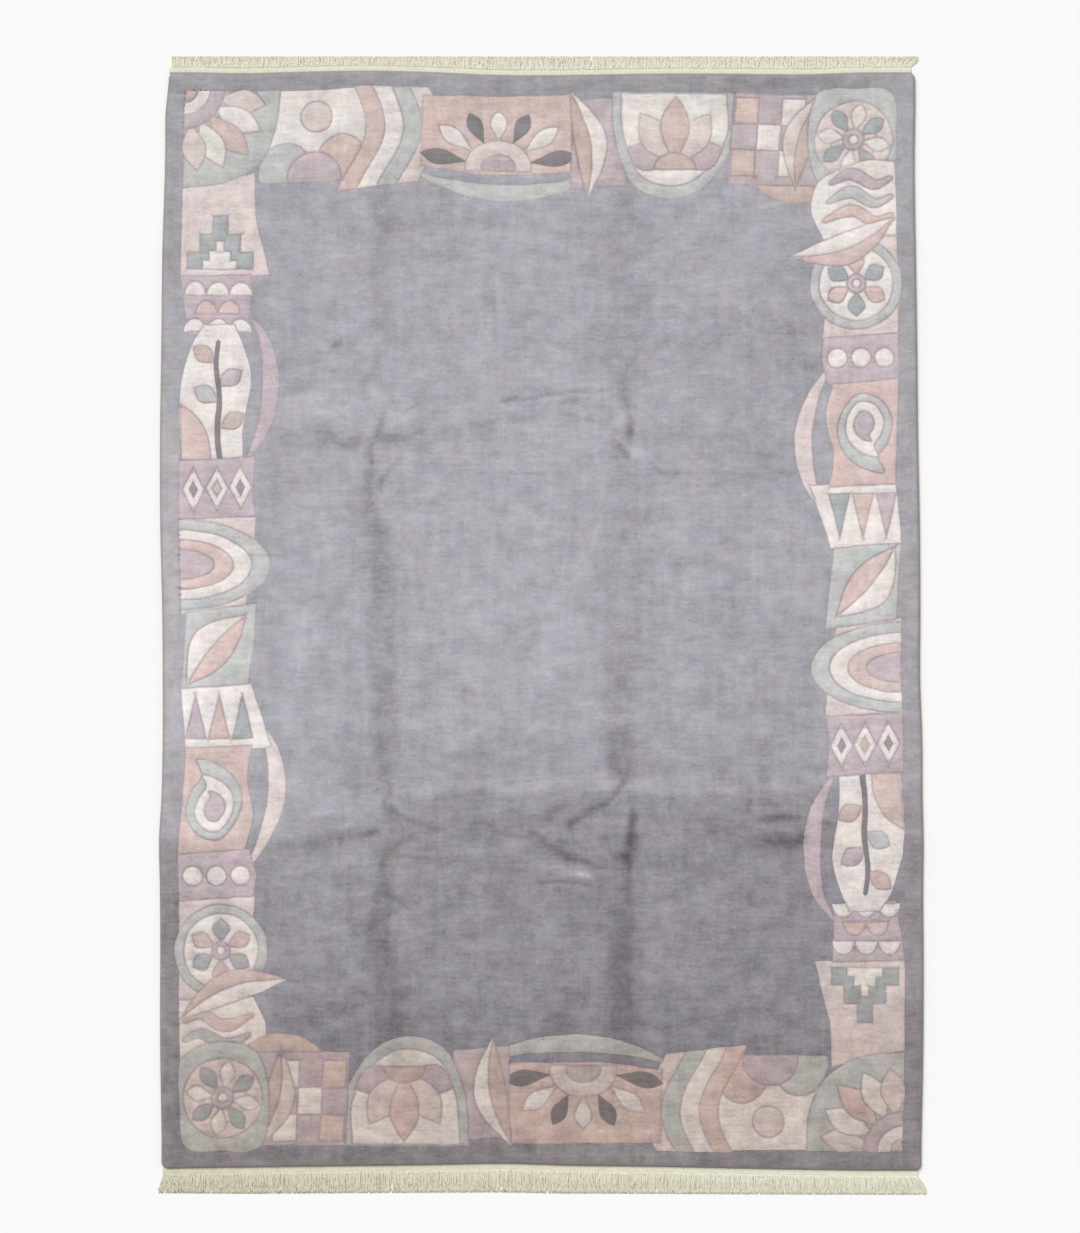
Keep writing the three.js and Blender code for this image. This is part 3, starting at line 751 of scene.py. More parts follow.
def corner_fan():
    """Petals that fan out from a quarter disc in the corner."""
    patch("sage", (0, 0), bend((25.4, 0), (24.6, 10), (20.6, 19), (11.5, 24.6), (0, 26)))
    for turn, length, yarn in ((9, 13.0, "blush"), (27, 14.2, "cream"), (45, 15.6, "salmon"),
                               (63, 14.2, "cream"), (81, 13.0, "blush")):
        patch(yarn, petal(0.4 + 8.4 * direction(turn), length, 6.4, turn))
    for radius, yarn in ((10.4, "mauve"), (6.6, "cream"), (3.2, "salmon")):
        patch(yarn, arc(0, 0, radius, radius, 0, 90), (0, 0))


def stepped_hill():
    """A hill of steps with a smaller one in it."""
    patch("blush", bend((0, 26.4), (12, 23.8), (19, 22)), (19.6, 34), (23.6, 49.6), (0, 50.4))
    right = np.array([(2, -14.4), (2, -9.4), (5.4, -9.4), (5.4, -4.6), (8.8, -4.6), (8.8, 0)])
    steps = np.vstack([right[::-1] * (-1, 1), right])
    patch("slate", steps + (10.4, 48))
    patch("cream", steps * 0.52 + (10.4, 48))


def water_scales():
    """Three staggered rows of domes."""
    patch("mauve", (0, 50), (18.8, 49.4), (18.4, 64.8), (2.2, 65.6))
    wide, narrow = (4, 10, 16), (7, 13)
    for y, yarn, places in ((55, "cream", wide), (60, "salmon", narrow), (64.8, "cream", wide)):
        for x in places:
            patch(yarn, dome(x, y, 2.9, 3.6))


def leaf_shield():
    """A stem with four leaves on a pale shield."""
    left = bend((6.4, 62.8), (2.6, 70), (0.2, 82), (0.8, 101))
    patch("cream", left, bend((16.8, 101), (17, 90), (18.8, 76), (14.6, 62.8)))
    patch("salmon", bend((0.2, 84), (5.2, 88), (8, 94), (8.6, 101)), (0.8, 101))
    for base, turn, yarn in (((10.8, 90.6), -30, "tan"), ((10.4, 83.6), -150, "sage"),
                             ((10.2, 79.4), -34, "mauve"), ((9.6, 73.2), -144, "tan")):
        patch(yarn, petal(base, 7.6, 4.8, turn))
    patch("charcoal", stroke((1.5, 1.5, 1.2), (10.8, 98.6), (10.2, 91), (10.6, 82), (9.6, 74), (10.2, 67.4)))


def diamond_row():
    """Three diamonds with darker hearts."""
    patch("mauve", (0.2, 99.4), (20.2, 98.2), (19.4, 109), (20.4, 114.8), (0, 116))
    diamond = np.array([(0, -5.6), (2.9, 0), (0, 5.6), (-2.9, 0)])
    for k, heart in enumerate(("plum", "salmon", "plum")):
        middle = (3.9 + 6.2 * k, 107 - 0.3 * k)
        patch("cream", diamond + middle)
        patch(heart, diamond * 0.42 + middle)


def rainbow_arch():
    """Four arches, one in the other, that open to the margin."""
    patch("blush", (0, 115), (20.4, 114.2), (19, 128), (17, 139), (0, 140))
    for across, down, yarn in ((23.8, 12.0, "sage"), (19.0, 9.2, "cream"), (14.2, 6.6, "salmon"),
                               (9.2, 4.0, "mauve")):
        patch(yarn, arc(0, 127, across, down, -90, 90))


def feather_panel():
    """One large leaf in two yarns, set slantwise."""
    patch("sage", (1.4, 139.6), (20, 137.4), (19, 149), (17.4, 160.4), (0, 161.4))
    two_tone((1.6, 159.0), 24.2, 11.0, -50, "cream", "salmon", -1.6)


def saw_teeth():
    """Three teeth side by side."""
    patch("cream", (0, 160), (18.4, 158.8), (23.8, 175.6), (1.2, 176))
    for k, yarn in enumerate(("mauve", "salmon", "slate")):
        x = 0.9 + 6.2 * k
        patch(yarn, (x, 173.4), (x + 5.6, 173.2), (x + 2.9, 161.4))


def flame_drop():
    """A drop with a curled tip, in three yarns one in the other."""
    patch("salmon", (1.2, 175.6), bend((18.6, 175), (17.4, 184), (19.4, 194), (16.6, 205)), (0, 205))
    flame = bend((4.2, 178.6), (10.6, 180.4), (15.4, 185.6), (16, 192.6), (11.4, 199.4), (5.2, 198.6),
                 (1.8, 192.8), (3.0, 187), (5.6, 183), closed=True)
    patch("sage", flame)
    for size, yarn in ((0.70, "cream"), (0.38, "mauve")):
        patch(yarn, (flame - (9.4, 191.6)) * size + (9.4, 192.0))


def pearl_row():
    """Three discs in a row."""
    patch("mauve", (0, 203.6), (18.6, 202.4), (20.4, 209), (19.4, 216.4), (0, 217))
    for x in (3.8, 10, 16.2):
        patch("cream", disc(x, 209.4, 2.6, 0.9))


def rosette_panel():
    """A wheel flower in a double ring."""
    patch("blush", (0, 216), (20, 214.8), (18.6, 229), (19, 243), (0, 244))
    patch("sage", disc(11, 229.2, 12.2))
    patch("cream", disc(11, 229.2, 9.8))
    rosette(11, 229.2, 8.6, 6, ("slate", "salmon"), ("mauve", "cream"), 30)


def wave_panel():
    """Three waves one under the other."""
    patch("cream", (0, 242), bend((19.4, 241.4), (22.6, 249), (20.4, 257), (9, 262), (0.4, 262)))
    for k, yarn in enumerate(("salmon", "sage", "mauve")):
        y = 247.6 + 5.0 * k
        crests = ((1.4, y), (6, y - 1.8), (12, y + 1.2), (19.2 - 0.9 * k, y - 1.4))
        patch(yarn, stroke((1.4, 3.0, 3.4, 1.2), *crests))


def moonlit_hills():
    """A full moon over three round hills."""
    foot = bend((20.4, 24.6), (27, 24.4), (36, 24.6), (49, 23.4))
    patch("cream", (23.4, 0.4), (49.6, -0.4), (50.4, 12), foot[::-1])
    patch("blush", disc(35.4, 7.4, 4.2))
    for x, across, down, yarn in ((27.4, 7.4, 9.4, "sage"), (42.4, 8, 11.6, "salmon"),
                                  (35, 7.2, 6.8, "mauve")):
        patch(yarn, dome(x, 23.6, across, down), (x + across - 0.4, 24.8), (x - across + 0.4, 25))


def rainbow_bands():
    """Four bands side by side that sway together."""
    edges = []
    for k in range(5):
        y = np.linspace(-0.8, 27.4 - 0.7 * k, 22)
        edges.append(np.column_stack([44.6 + 5.0 * k + 4.0 * np.sin(y / 27 * np.pi * 1.25 + 0.15), y]))
    for yarn, left, right in zip(("salmon", "cream", "sage", "blush"), edges, edges[1:]):
        patch(yarn, left, right[::-1])


def rising_sun():
    """Rays of dark and pale leaves round half a sun."""
    patch("salmon", (63.6, 1.4), (104, 0.4), (104.6, 21.6), (80, 22.4), (63.4, 20.4))
    for k, turn in enumerate(range(-171, 0, 27)):
        out = direction(turn)
        base = (84, 20) + 6.4 * out * (1.25, 1)
        patch(("charcoal", "cream")[k % 2], petal(base, 8.8 + 4.6 * out[0] ** 2, 4.4, turn, 0.62))
    patch("blush", dome(84, 20.2, 8.8, 7.2), (92.6, 21.2), (75.4, 21.4))
    patch("mauve", dome(84, 20.4, 4.6, 3.6), (88.4, 21.2), (79.6, 21.2))


def narrow_panel():
    """A plain panel between the sun and the lotus."""
    patch("mauve", (103.4, 2), (119, 1.2), (118, 25), (103.4, 26))


def lotus_arch():
    """A lotus of five petals in a bowl."""
    bowl = bend((146.8, 0.4), (147.0, 13), (139.4, 25), (129.6, 28.8), (120, 25), (115, 13), (114, -0.2))
    patch("sage", bowl)
    patch("cream", (bowl - (131, 0)) * (0.86, 0.87) + (131, 0.4))
    for turn, length, yarn in ((-156, 12.6, "mauve"), (-24, 12.6, "mauve"), (-122, 16.2, "blush"),
                               (-58, 16.2, "blush"), (-90, 18.2, "salmon")):
        patch(yarn, petal((131, 20.8) + 1.4 * direction(turn), length, 7.8, turn))
    patch("tan", dome(131, 21, 5.6, 4.4))


def chequer():
    """Squares in three yarns, a little aslant."""
    corner = np.array((146.6, 0.4))
    across = np.array((6.2, 0.1))
    down = np.array((-0.4, 7.0))
    end = corner + across * 4
    patch("mauve", corner, end, end + down * 3.5, corner + down * 3.5)
    for i in range(4):
        for j in range(i % 2, 3, 2):
            p = corner + across * (i + 0.1) + down * (j + 0.16)
            yarn = "salmon" if (i + 2 * j) % 4 == 0 else "cream"
            patch(yarn, p, p + across, p + across + down, p + down)


def rosette_corner():
    """A wheel flower on a rounded square in the corner."""
    patch("sage", bend((169, 0.4), (179, -0.6), (188.6, 0.6), (190, 12), (189, 24), (179, 28), (169.5, 25),
                       (166.4, 12.6), closed=True))
    patch("blush", disc(178.6, 13.2, 10.4))
    rosette(178.6, 13.2, 9.8, 8, ("cream", "slate"), ("mauve", "cream"), 11)


def crescents():
    """Curved blades in two yarns over the joints of the panels."""
    two_tone((102.8, -0.4), 29, 8.6, 80, "cream", "tan", -3.2)
    two_tone((0.4, 247), 29.6, 8.4, -20, "salmon", "cream", -3.4)
    two_tone((170.6, 0), 27, 8.0, 106, "tan", "blush", 3.0)


def border_patches():
    """All patches on the plan in metres: one half is drawn, and the other is that half turned end for end.
    The outlines stray by up to 1.3 mm."""
    for draw in (inner_sweeps, stepped_hill, water_scales, leaf_shield, diamond_row, rainbow_arch,
                 feather_panel, saw_teeth, flame_drop, pearl_row, rosette_panel, wave_panel, moonlit_hills,
                 rainbow_bands, rising_sun, narrow_panel, lotus_arch, chequer, crescents, corner_fan,
                 rosette_corner):
        draw()
    whole = []
    for way in (1, -1):
        for yarn, outline in PATCHES:
            plan = (outline - (BORDER_WIDTH / 2, BORDER_LENGTH / 2)) * (CM, -CM)
            plan = close_steps(plan * way)
            shake = np.column_stack([drift(*plan.T, 0.034, 51), drift(*plan.T, 0.034, 52)])
            whole.append((yarn, plan + shake * 1.3 * MM))
    return whole


# The cutting of the plan into triangles

def close_steps(outline):
    """A closed outline with points added so that no step is longer than LINE_STEP."""
    ends = np.roll(outline, -1, 0)
    counts = np.ceil(np.hypot(*(ends - outline).T) / LINE_STEP).astype(int).clip(1)
    edge = np.repeat(np.arange(len(outline)), counts)
    place = np.arange(len(edge)) - np.repeat(np.cumsum(counts) - counts, counts)
    share = (place / counts[edge])[:, None]
    return outline[edge] * (1 - share) + ends[edge] * share


def inside(outline, points):
    """True where a line to the right of a point crosses the closed outline an odd number of times."""
    from_x, from_y = outline.T
    to_x, to_y = np.roll(outline, -1, 0).T
    rise = np.where(to_y == from_y, 1.0, to_y - from_y)
    spans = (from_y > points[:, 1:]) != (to_y > points[:, 1:])
    meets = from_x + (points[:, 1:] - from_y) * (to_x - from_x) / rise
    return (spans & (points[:, :1] < meets)).sum(1) % 2 == 1


def top_patch(patches, points):
    """The number of the patch that shows at each point, -1 on the ground."""
    owner = np.full(len(points), -1)
    for number, (_, outline) in enumerate(patches):
        low, high = outline.min(0), outline.max(0)
        near = np.flatnonzero(np.all((points >= low) & (points <= high), axis=1))
        if len(near):
            owner[near[inside(outline, points[near])]] = number
    return owner


def triangulate(points, edges):
    """Delaunay triangles of points on the plan, with the given edges kept: (points, triangles)."""
    made = delaunay_2d_cdt([Vector(p) for p in points], edges.tolist(), [], 0, 1e-6, False)
    return np.array([tuple(p) for p in made[0]]), np.array(made[2])


def carved_lines(patches):
    """Where two patches meet: all outlines are cut against each other, and what divides two patches stays.
    Gives the points, the edges between them and each edge's strength."""
    points, edges, count = [], [], 0
    for _, outline in patches:
        own = count + np.arange(len(outline))
        points.append(outline)
        edges.append(np.column_stack([own, np.roll(own, -1)]))
        count += len(outline)
    points, triangles = triangulate(np.vstack(points + [rim_loop(0)[::RIM_FRAME]]), np.vstack(edges))
    owner = top_patch(patches, points[triangles].mean(1))
    sides = np.sort(np.vstack([triangles[:, [0, 1]], triangles[:, [1, 2]], triangles[:, [2, 0]]]), axis=1)
    side_owner = np.tile(owner, 3)
    order = np.lexsort(sides.T)
    sides, side_owner = sides[order], side_owner[order]
    shared = np.flatnonzero(np.all(sides[1:] == sides[:-1], axis=1))
    shared = shared[side_owner[shared] != side_owner[shared + 1]]
    strength = line_strength(patches, side_owner[shared], side_owner[shared + 1])
    used, lines = np.unique(sides[shared], return_inverse=True)
    return points[used], lines.reshape(-1, 2), strength


def line_strength(patches, one, other):
    """How strongly the line between two patches shows, from the yarns on its two sides."""
    names = np.array([yarn for yarn, _ in patches] + ["grey"])
    pair = np.array([names[one], names[other]])
    ground = (pair == "grey").any(0)
    cream = (pair == "cream").any(0)
    strength = np.full(len(one), LINE_BETWEEN)
    strength[ground] = LINE_ON_GROUND
    strength[ground & cream] = LINE_BY_CREAM_GROUND
    strength[np.isin(pair, ("charcoal", "plum")).any(0)] = LINE_BY_FIGURE
    return strength


def thinned(points, edges):
    """The same lines with fewer points, for the underside: of the points that lie between two others on an
    almost straight run, each that comes first of its neighbours in a random order goes, three times over."""
    for turn in range(3):
        ends, partners = edges.ravel(), edges[:, ::-1].ravel()
        order = np.argsort(ends, kind="stable")
        first = np.searchsorted(ends[order], np.arange(len(points)))
        middle = np.bincount(ends, minlength=len(points)) == 2
        one = partners[order][first]
        other = partners[order][np.minimum(first + 1, len(order) - 1)]
        back, on = points - points[one], points[other] - points
        swerve = np.abs(back[:, 0] * on[:, 1] - back[:, 1] * on[:, 0])
        level = swerve < HARDLY_TURNS * np.hypot(*back.T) * np.hypot(*on.T)
        level &= (back * on).sum(1) > 0
        rank = np.random.default_rng(turn).permutation(len(points))
        gone = middle & level & (rank < rank[one]) & (rank < rank[other])
        edges = np.vstack([edges[~gone[edges].any(1)], np.column_stack([one[gone], other[gone]])])
        used, edges = np.unique(edges, return_inverse=True)
        points, edges = points[used], edges.reshape(-1, 2)
    return points, edges


def rim_loop(inset):
    """One round of the plan's edge, moved in by an inset: four sides and four quarter circles, which get
    smaller by 0.7 of the inset."""
    half = np.array((PILE_WIDTH, PILE_LENGTH)) / 2 - inset
    radius = CORNER_RADIUS - 0.7 * inset
    inner = half - radius
    turn = np.linspace(0, np.pi / 2, RIM_CORNER_POINTS + 2)[1:-1]
    quarter = np.column_stack([np.cos(turn), np.sin(turn)]) * radius
    across = np.linspace(-1, 1, int(PILE_WIDTH / RIM_STEP))
    along = np.linspace(-1, 1, int(PILE_LENGTH / RIM_STEP))
    right = np.column_stack([np.full(len(along), half[0]), along * inner[1]])
    top = np.column_stack([-across * inner[0], np.full(len(across), half[1])])
    half_round = np.vstack([right, inner + quarter, top, inner * (-1, 1) + (quarter * (-1, 1))[::-1]])
    return np.vstack([half_round, -half_round])


def distance_to_lines(line_points, at):
    """How far each place is from the nearest point of the lines, as far as the grid looks: the lines are
    marked on a fine square grid, and each cell takes the least distance of its neighbours."""
    reach = int(GRID_REACH / GRID_CELL)
    low = np.array((-PILE_WIDTH, -PILE_LENGTH)) / 2
    shape = np.ceil(np.array((PILE_WIDTH, PILE_LENGTH)) / GRID_CELL).astype(int) + 2 * reach + 2
    on_line = np.zeros(shape, bool)
    i, j = np.round((line_points - low) / GRID_CELL).astype(int).T + reach
    on_line[i, j] = True
    nearest = np.full(shape, (reach + 1) * GRID_CELL, np.float32)
    for di in range(-reach, reach + 1):
        for dj in range(-reach, reach + 1):
            away = np.hypot(di, dj) * GRID_CELL
            if away <= reach * GRID_CELL:
                moved = np.roll(on_line, (di, dj), (0, 1))
                np.minimum(nearest, np.float32(away), out=nearest, where=moved)
    i, j = np.round((at - low) / GRID_CELL).astype(int).T + reach
    return nearest[i, j]


def plain_places():
    """Places over the whole plan in staggered rows, each moved a little, so that no rows show. The rows
    stand twice as close on folds and creases and by the dark line."""
    step = PLAIN_STEP / 2
    row = step * np.sqrt(3) / 2
    half = np.array((PILE_WIDTH, PILE_LENGTH)) / 2 - CLEAR_OF_RIM
    count_v = int(2 * half[1] / row)
    u, v = np.meshgrid(np.arange(-count_v // 2, int(2 * half[0] / step)), np.arange(count_v))
    places = np.stack([(u + v / 2) * step, v * row], -1).reshape(-1, 2) - half
    on_plan = np.abs(places[:, 0]) < half[0]
    places, u, v = places[on_plan], u.ravel()[on_plan], v.ravel()[on_plan]
    outer = np.any(np.abs(places) > half - OUTER_PART, axis=1)
    x, y = on_rug(*places.T)
    y = y - PILE_MIDDLE_Y
    close = (marked(x, y) > FOLD_STRENGTH) | (np.abs(past_dark_line(x, y)) < BY_DARK_LINE)
    every = np.where(close & ~outer, 1, 2)
    keep = (u % every == 0) & (v % every == 0)
    shift = np.random.default_rng(3).uniform(-PLAIN_SHIFT, PLAIN_SHIFT, (keep.sum(), 2))
    return places[keep] + shift * step * every[keep][:, None]


def crease_places():
    """Places on the plan in five rows along each crease, on its line and to both sides of it. A place on
    the rug is traced back to the plan by twice taking off what on_rug adds."""
    rows = []
    for line in CREASES:
        corners = np.array(line, float)
        for start, end in zip(corners[:-1], corners[1:]):
            run = end - start
            length = np.hypot(*run[:2])
            count = max(1, round(length / CREASE_STEP * MM))
            share = ((np.arange(count) + 0.5) / count)[:, None]
            side = np.array((-run[1], run[0])) / length
            for row in CREASE_ROWS:
                rows.append(start[:2] + share * run[:2] + side * row * (start[2] + share * run[2]))
    at = np.vstack(rows)
    at = (at - np.column_stack(wander(*at.T))) * MM
    _, first = np.unique(np.round(at / CREASE_APART), axis=0, return_index=True)
    at = at[np.sort(first)]
    plan = at.copy()
    for _ in range(2):
        plan += at + (0, PILE_MIDDLE_Y) - np.column_stack(on_rug(*plan.T))
    return plan


def free_places(starts, ends, strength):
    """The points of the top that lie off the carved lines: rows beside each step of a line, creases and
    plain places. Gives the places, their distance to the nearest line, and how strongly it shows there."""
    along = ends - starts
    length = np.hypot(*along.T)
    followed = length > SHORTEST_BESIDE_ROW
    middles = (starts + ends)[followed] / 2
    side = np.column_stack([-along[:, 1], along[:, 0]])[followed] / length[followed][:, None]
    beside = np.vstack([middles + side * row * way for row in GROOVE_ROWS for way in (-1, 1)])
    creases = crease_places()
    plain = plain_places()
    plain = np.vstack([plain[distance_to_lines(creases, plain) > CLEAR_OF_CREASE], creases])

    share = np.linspace(0, 1, POINTS_ON_A_STEP)[None, :, None]
    line_points = (starts[:, None] * (1 - share) + ends[:, None] * share).reshape(-1, 2)
    places = np.vstack([beside, plain])
    away = distance_to_lines(line_points, places)
    row_clear = np.repeat(GROOVE_ROWS, 2 * len(middles)) - GROOVE_ROW_SLACK
    clear = away > np.concatenate([row_clear, np.full(len(plain), CLEAR_OF_LINE)])
    shows = [np.tile(strength[followed], 2 * len(GROOVE_ROWS)), np.full(len(plain), OFF_THE_LINES)]
    return places[clear], away[clear], np.concatenate(shows)[clear]


# Meshes

def mesh_piece(name, points, groups):
    """A new smooth piece from an array of points and a list of arrays of faces."""
    sizes = np.concatenate([np.full(len(group), group.shape[1]) for group in groups])
    corners = np.concatenate([group.ravel() for group in groups])
    mesh = bpy.data.meshes.new(name)
    mesh.vertices.add(len(points))
    mesh.vertices.foreach_set("co", np.asarray(points, np.float32).ravel())
    mesh.loops.add(len(corners))
    mesh.loops.foreach_set("vertex_index", corners.astype(np.int32))
    mesh.polygons.add(len(sizes))
    mesh.polygons.foreach_set("loop_start", (np.cumsum(sizes) - sizes).astype(np.int32))
    mesh.polygons.foreach_set("loop_total", sizes.astype(np.int32))
    mesh.polygons.foreach_set("use_smooth", np.full(len(sizes), True))
    mesh.update(calc_edges=True)
    piece = bpy.data.objects.new(name, mesh)
    bpy.context.collection.objects.link(piece)
    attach(piece, "root")
    return piece


def give(piece, name, values, kind="FLOAT", domain="POINT"):
    """Stores one value, or one colour, for each point or corner of a piece."""
    layer = piece.data.attributes.new(name, kind, domain)
    layer.data.foreach_set("color" if "COLOR" in kind else "value", np.asarray(values, np.float32).ravel())


def changing(y, stops):
    """Red, green and blue at each y: straight lines between stops of (y, three values)."""
    places, values = zip(*stops)
    return np.column_stack([np.interp(y, places, channel) for channel in np.transpose(values)])


def yarn_colours(patches, plan, top_faces, walls, under):
    """The yarn at each corner of the faces: red, green, blue, and how far it follows the ground's painted
    light and shade.
    """
    colours = np.array([daylight(*YARNS[yarn]) for yarn in [yarn for yarn, _ in patches] + ["guard", "grey"]])
    colours[:-2, 3] = LIGHT_YARN_LAY_SHADE
    owners = []
    for faces in (top_faces, under):
        middles = plan[faces].mean(1)
        owner = top_patch(patches, middles)
        beyond = np.any(np.abs(middles) > np.array((BORDER_WIDTH, BORDER_LENGTH)) * CM / 2, axis=1)
        owner[(owner == -1) & beyond] = -2
        owners.append(np.repeat(owner, 3))
    owner = np.concatenate([owners[0], np.full(walls.size, -2), owners[1]])
    yarn = colours[owner]
    y = plan[np.concatenate([top_faces.ravel(), walls.ravel(), under.ravel()]), 1]
    guard = [(place, daylight(*colour)[:3]) for place, colour in GUARD_ALONG]
    yarn[owner == -2, :3] = changing(y[owner == -2], guard)
    yarn[owner >= 0, :3] *= changing(y[owner >= 0], BORDER_ALONG)
    return yarn


def rug_pile():
    """The knotted cloth as one closed body. The plan is cut into triangles along every carved line, with
    two rows of points on each side of it, and each point is raised to the pile's height less the groove:
    GROOVE_DEPTH * (1 - distance / GROOVE_REACH)^1.3 * (0.35 + 0.65 * strength of the line).
    The rim's rows round it down to the floor, and the underside shows the same knots from the back."""
    patches = border_patches()
    lines, line_edges, strength = carved_lines(patches)
    on_line = np.bincount(line_edges.ravel(), np.repeat(strength, 2)) / np.bincount(line_edges.ravel())
    free, away, free_strength = free_places(lines[line_edges[:, 0]], lines[line_edges[:, 1]], strength)
    rounds = [rim_loop(inset) for inset, _ in RIM_ROWS]
    count = len(rounds[0])
    here = np.arange(count)
    then = np.roll(here, -1)
    loop_edges = np.column_stack([here, then])

    top = np.vstack([rounds[0], lines, free])
    made, top_faces = triangulate(top, np.vstack([loop_edges, line_edges + count]))
    assert len(made) == len(top), (len(made), len(top))
    back_lines, back_edges = thinned(lines, line_edges)
    back_edges = np.vstack([loop_edges, back_edges + count])
    back, under = triangulate(np.vstack([rounds[-1], back_lines]), back_edges)
    assert np.allclose(back[:count], rounds[-1], atol=1e-5)

    away = np.concatenate([np.full(count, 1.0), np.zeros(len(lines)), away])
    groove = np.clip(1 - away / GROOVE_REACH, 0, 1)
    line = np.concatenate([np.zeros(count), on_line, free_strength]) * (1 + 0.35 * drift(*top.T, 0.060, 71))
    heights = [pile_top(*top.T) - GROOVE_DEPTH * groove**1.3 * (0.35 + 0.65 * line)]
    heights += [pile_top(*ring.T) * part for ring, (_, part) in list(zip(rounds, RIM_ROWS))[1:]]
    heights += [np.zeros(len(back) - count)]
    plan = np.vstack([top, *rounds[1:], back[count:]])

    ring_start = np.concatenate([[0], len(top) + count * np.arange(len(RIM_ROWS) - 1)])
    walls = np.vstack([np.column_stack([outer + here, outer + then, inner + then, inner + here])
                       for inner, outer in zip(ring_start[:-1], ring_start[1:])])
    under = under[:, ::-1] + ring_start[-1]
    x, y = on_rug(*plan.T)
    points = np.column_stack([x, y, np.concatenate(heights)])
    piece = mesh_piece("rug_knotted_pile", points, [top_faces, walls, under])

    y = y - PILE_MIDDLE_Y
    uncut = np.zeros(len(plan) - len(top))
    out = np.minimum(PILE_WIDTH / 2 - np.abs(plan[:, 0]), PILE_LENGTH / 2 - np.abs(plan[:, 1]))
    give(piece, "yarn", yarn_colours(patches, plan, top_faces, walls, under), "FLOAT_COLOR", "CORNER")
    give(piece, "carving", np.concatenate([groove, uncut]))
    give(piece, "line", np.concatenate([line, uncut]))
    # Painted light and shade: the pile's lay, the strength of the creases for their painted shade, and the
    # edge for its painted shade.
    give(piece, "lay_shade", painted_lay_shade(x, y))
    give(piece, "crease", 1 - np.exp(-7 * marked(x, y)))
    give(piece, "edge", 1 - smooth_step(0.001, 0.011, out))
    slots = np.repeat((0, 1), (len(top_faces) + len(walls), len(under)))
    piece.data.polygons.foreach_set("material_index", slots.astype(np.int32))
    return piece


# Fringes. All sizes are in metres, and 1 stands for the top end, -1 for the bottom end.

# The section of the woven strip: how far out each corner lies and its share of the strip's thickness.
STRIP_SECTION = ((0.0004, 1.10), (0.0040, 1.05), (0.0075, 1.0), (0.0110, 0.96), (0.0145, 0.88),
                 (0.0178, 0.50), (0.0178, 0.0), (0.0004, 0.0))
STRIP_THICKNESS = 0.0032
STRIP_ROWS = 700
STRIP_INSET = 0.004

# The yarns start in the strip, a little above the floor. Each is a flattened tube.
FRINGE_YARNS = 1900
YARNS_TO_A_TASSEL = 6.2
YARN_RADIUS = 0.00185
YARN_FLATNESS = 0.75
YARN_SIDES = 5
YARN_SECTIONS = 9
ROOT_OUT = 0.0152
ROOT_INSET = 0.008
ROOT_RISE = 0.0011

# How the yarns stray: the lean of a whole tassel, the scatter of the tips, the width of the part by each
# corner that splays outwards, the sway of a yarn, and its waves as (size, half turns from root to tip).
TASSEL_LEAN = 0.0024
TIP_SCATTER = 0.0030
SPLAY_WIDTH = 0.07
SWAY = 0.0032
WAVES = ((0.0021, 2.6), (0.0009, 5.4))

# How much shorter than the longest yarns the others are cut: at least, mostly up to, and in 8 of 100 up to.
CUT_LEAST = 0.0003
CUT_MOSTLY = 0.0020
CUT_SOMETIMES = 0.0050

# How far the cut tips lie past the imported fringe, in metres: x and the distance.
TIPS_PAST = {
    1: ((-1.0, 0.0069), (1.0, 0.0069)),
    -1: ((-0.93, 0.0050), (-0.77, 0.0060), (-0.37, 0.0037), (-0.13, 0.0026), (-0.05, 0.0034), (0.03, 0.0053),
         (0.26, 0.0060), (0.58, 0.0076), (0.90, 0.0087)),
}
# How light the yarns are painted along their length, as painted light and shade, from the strip at 0 to the
# tip at 1.
YARNS_PAINTED_LIGHTNESS = {
    1: ((0, 1.10), (0.3, 1.03), (0.6, 0.94), (1, 0.84)),
    -1: ((0, 0.98), (0.3, 0.95), (0.78, 0.95), (1, 1.08)),
}
# How light the strip is painted beside the yarns, as painted light and shade, and its shade among theirs.
STRIP_PAINTED_LIGHTNESS = {1: 0.92, -1: 0.985}
STRIP_SHADE = 0.35
# How soiled the cotton is: x and a share from clean to brown.
SOILED = {
    1: ((-1.0, 0.20), (1.0, 0.16)),
    -1: ((-1.0, 0.50), (-0.3, 0.36), (0.3, 0.28), (1.0, 0.16)),
}


def end_line(end, x):
    """The y of the pile's end edge at x."""
    return np.interp(x, *EDGES["top" if end > 0 else "bottom"]) + PILE_MIDDLE_Y


def tubes(count, rings, sides, flipped):
    """The faces of tubes whose points stand ring after ring: quads between the rings, and one face on
    each end."""
    start = (np.arange(count) * rings * sides)[:, None, None]
    ring = start + (np.arange(rings - 1) * sides)[None, :, None]
    side = np.arange(sides)[None, None, :]
    then = (side + 1) % sides
    corners = (ring + side, ring + then, ring + sides + then, ring + sides + side)
    quads = np.stack(corners, -1).reshape(-1, 4)
    caps = np.vstack([start[:, 0] + side[0, :, ::-1], start[:, 0] + (rings - 1) * sides + side[0]])
    return [quads[:, ::-1], caps[:, ::-1]] if flipped else [quads, caps]


def woven_strip(end):
    """The points of the flat-woven strip past the last row of knots: a flattened tube along the edge,
    ribbed by its wefts, with a slightly ragged outer side."""
    x = np.linspace(-PILE_WIDTH / 2 + STRIP_INSET, PILE_WIDTH / 2 - STRIP_INSET, STRIP_ROWS)
    out, up = np.array(STRIP_SECTION).T
    up = up * STRIP_THICKNESS
    ribbed = up[None, :] * (1 + 0.10 * drift(x, x * 0, 0.0045, 61)[:, None] * (up > 0))
    ragged = 0.0006 * drift(x, x * 0 + 1, 0.02, 62)[:, None] * (out > 0.01)
    y = end_line(end, x)[:, None] + end * (out[None, :] + ragged)
    return np.stack([np.broadcast_to(x[:, None], y.shape), y, ribbed], axis=-1).reshape(-1, 3)


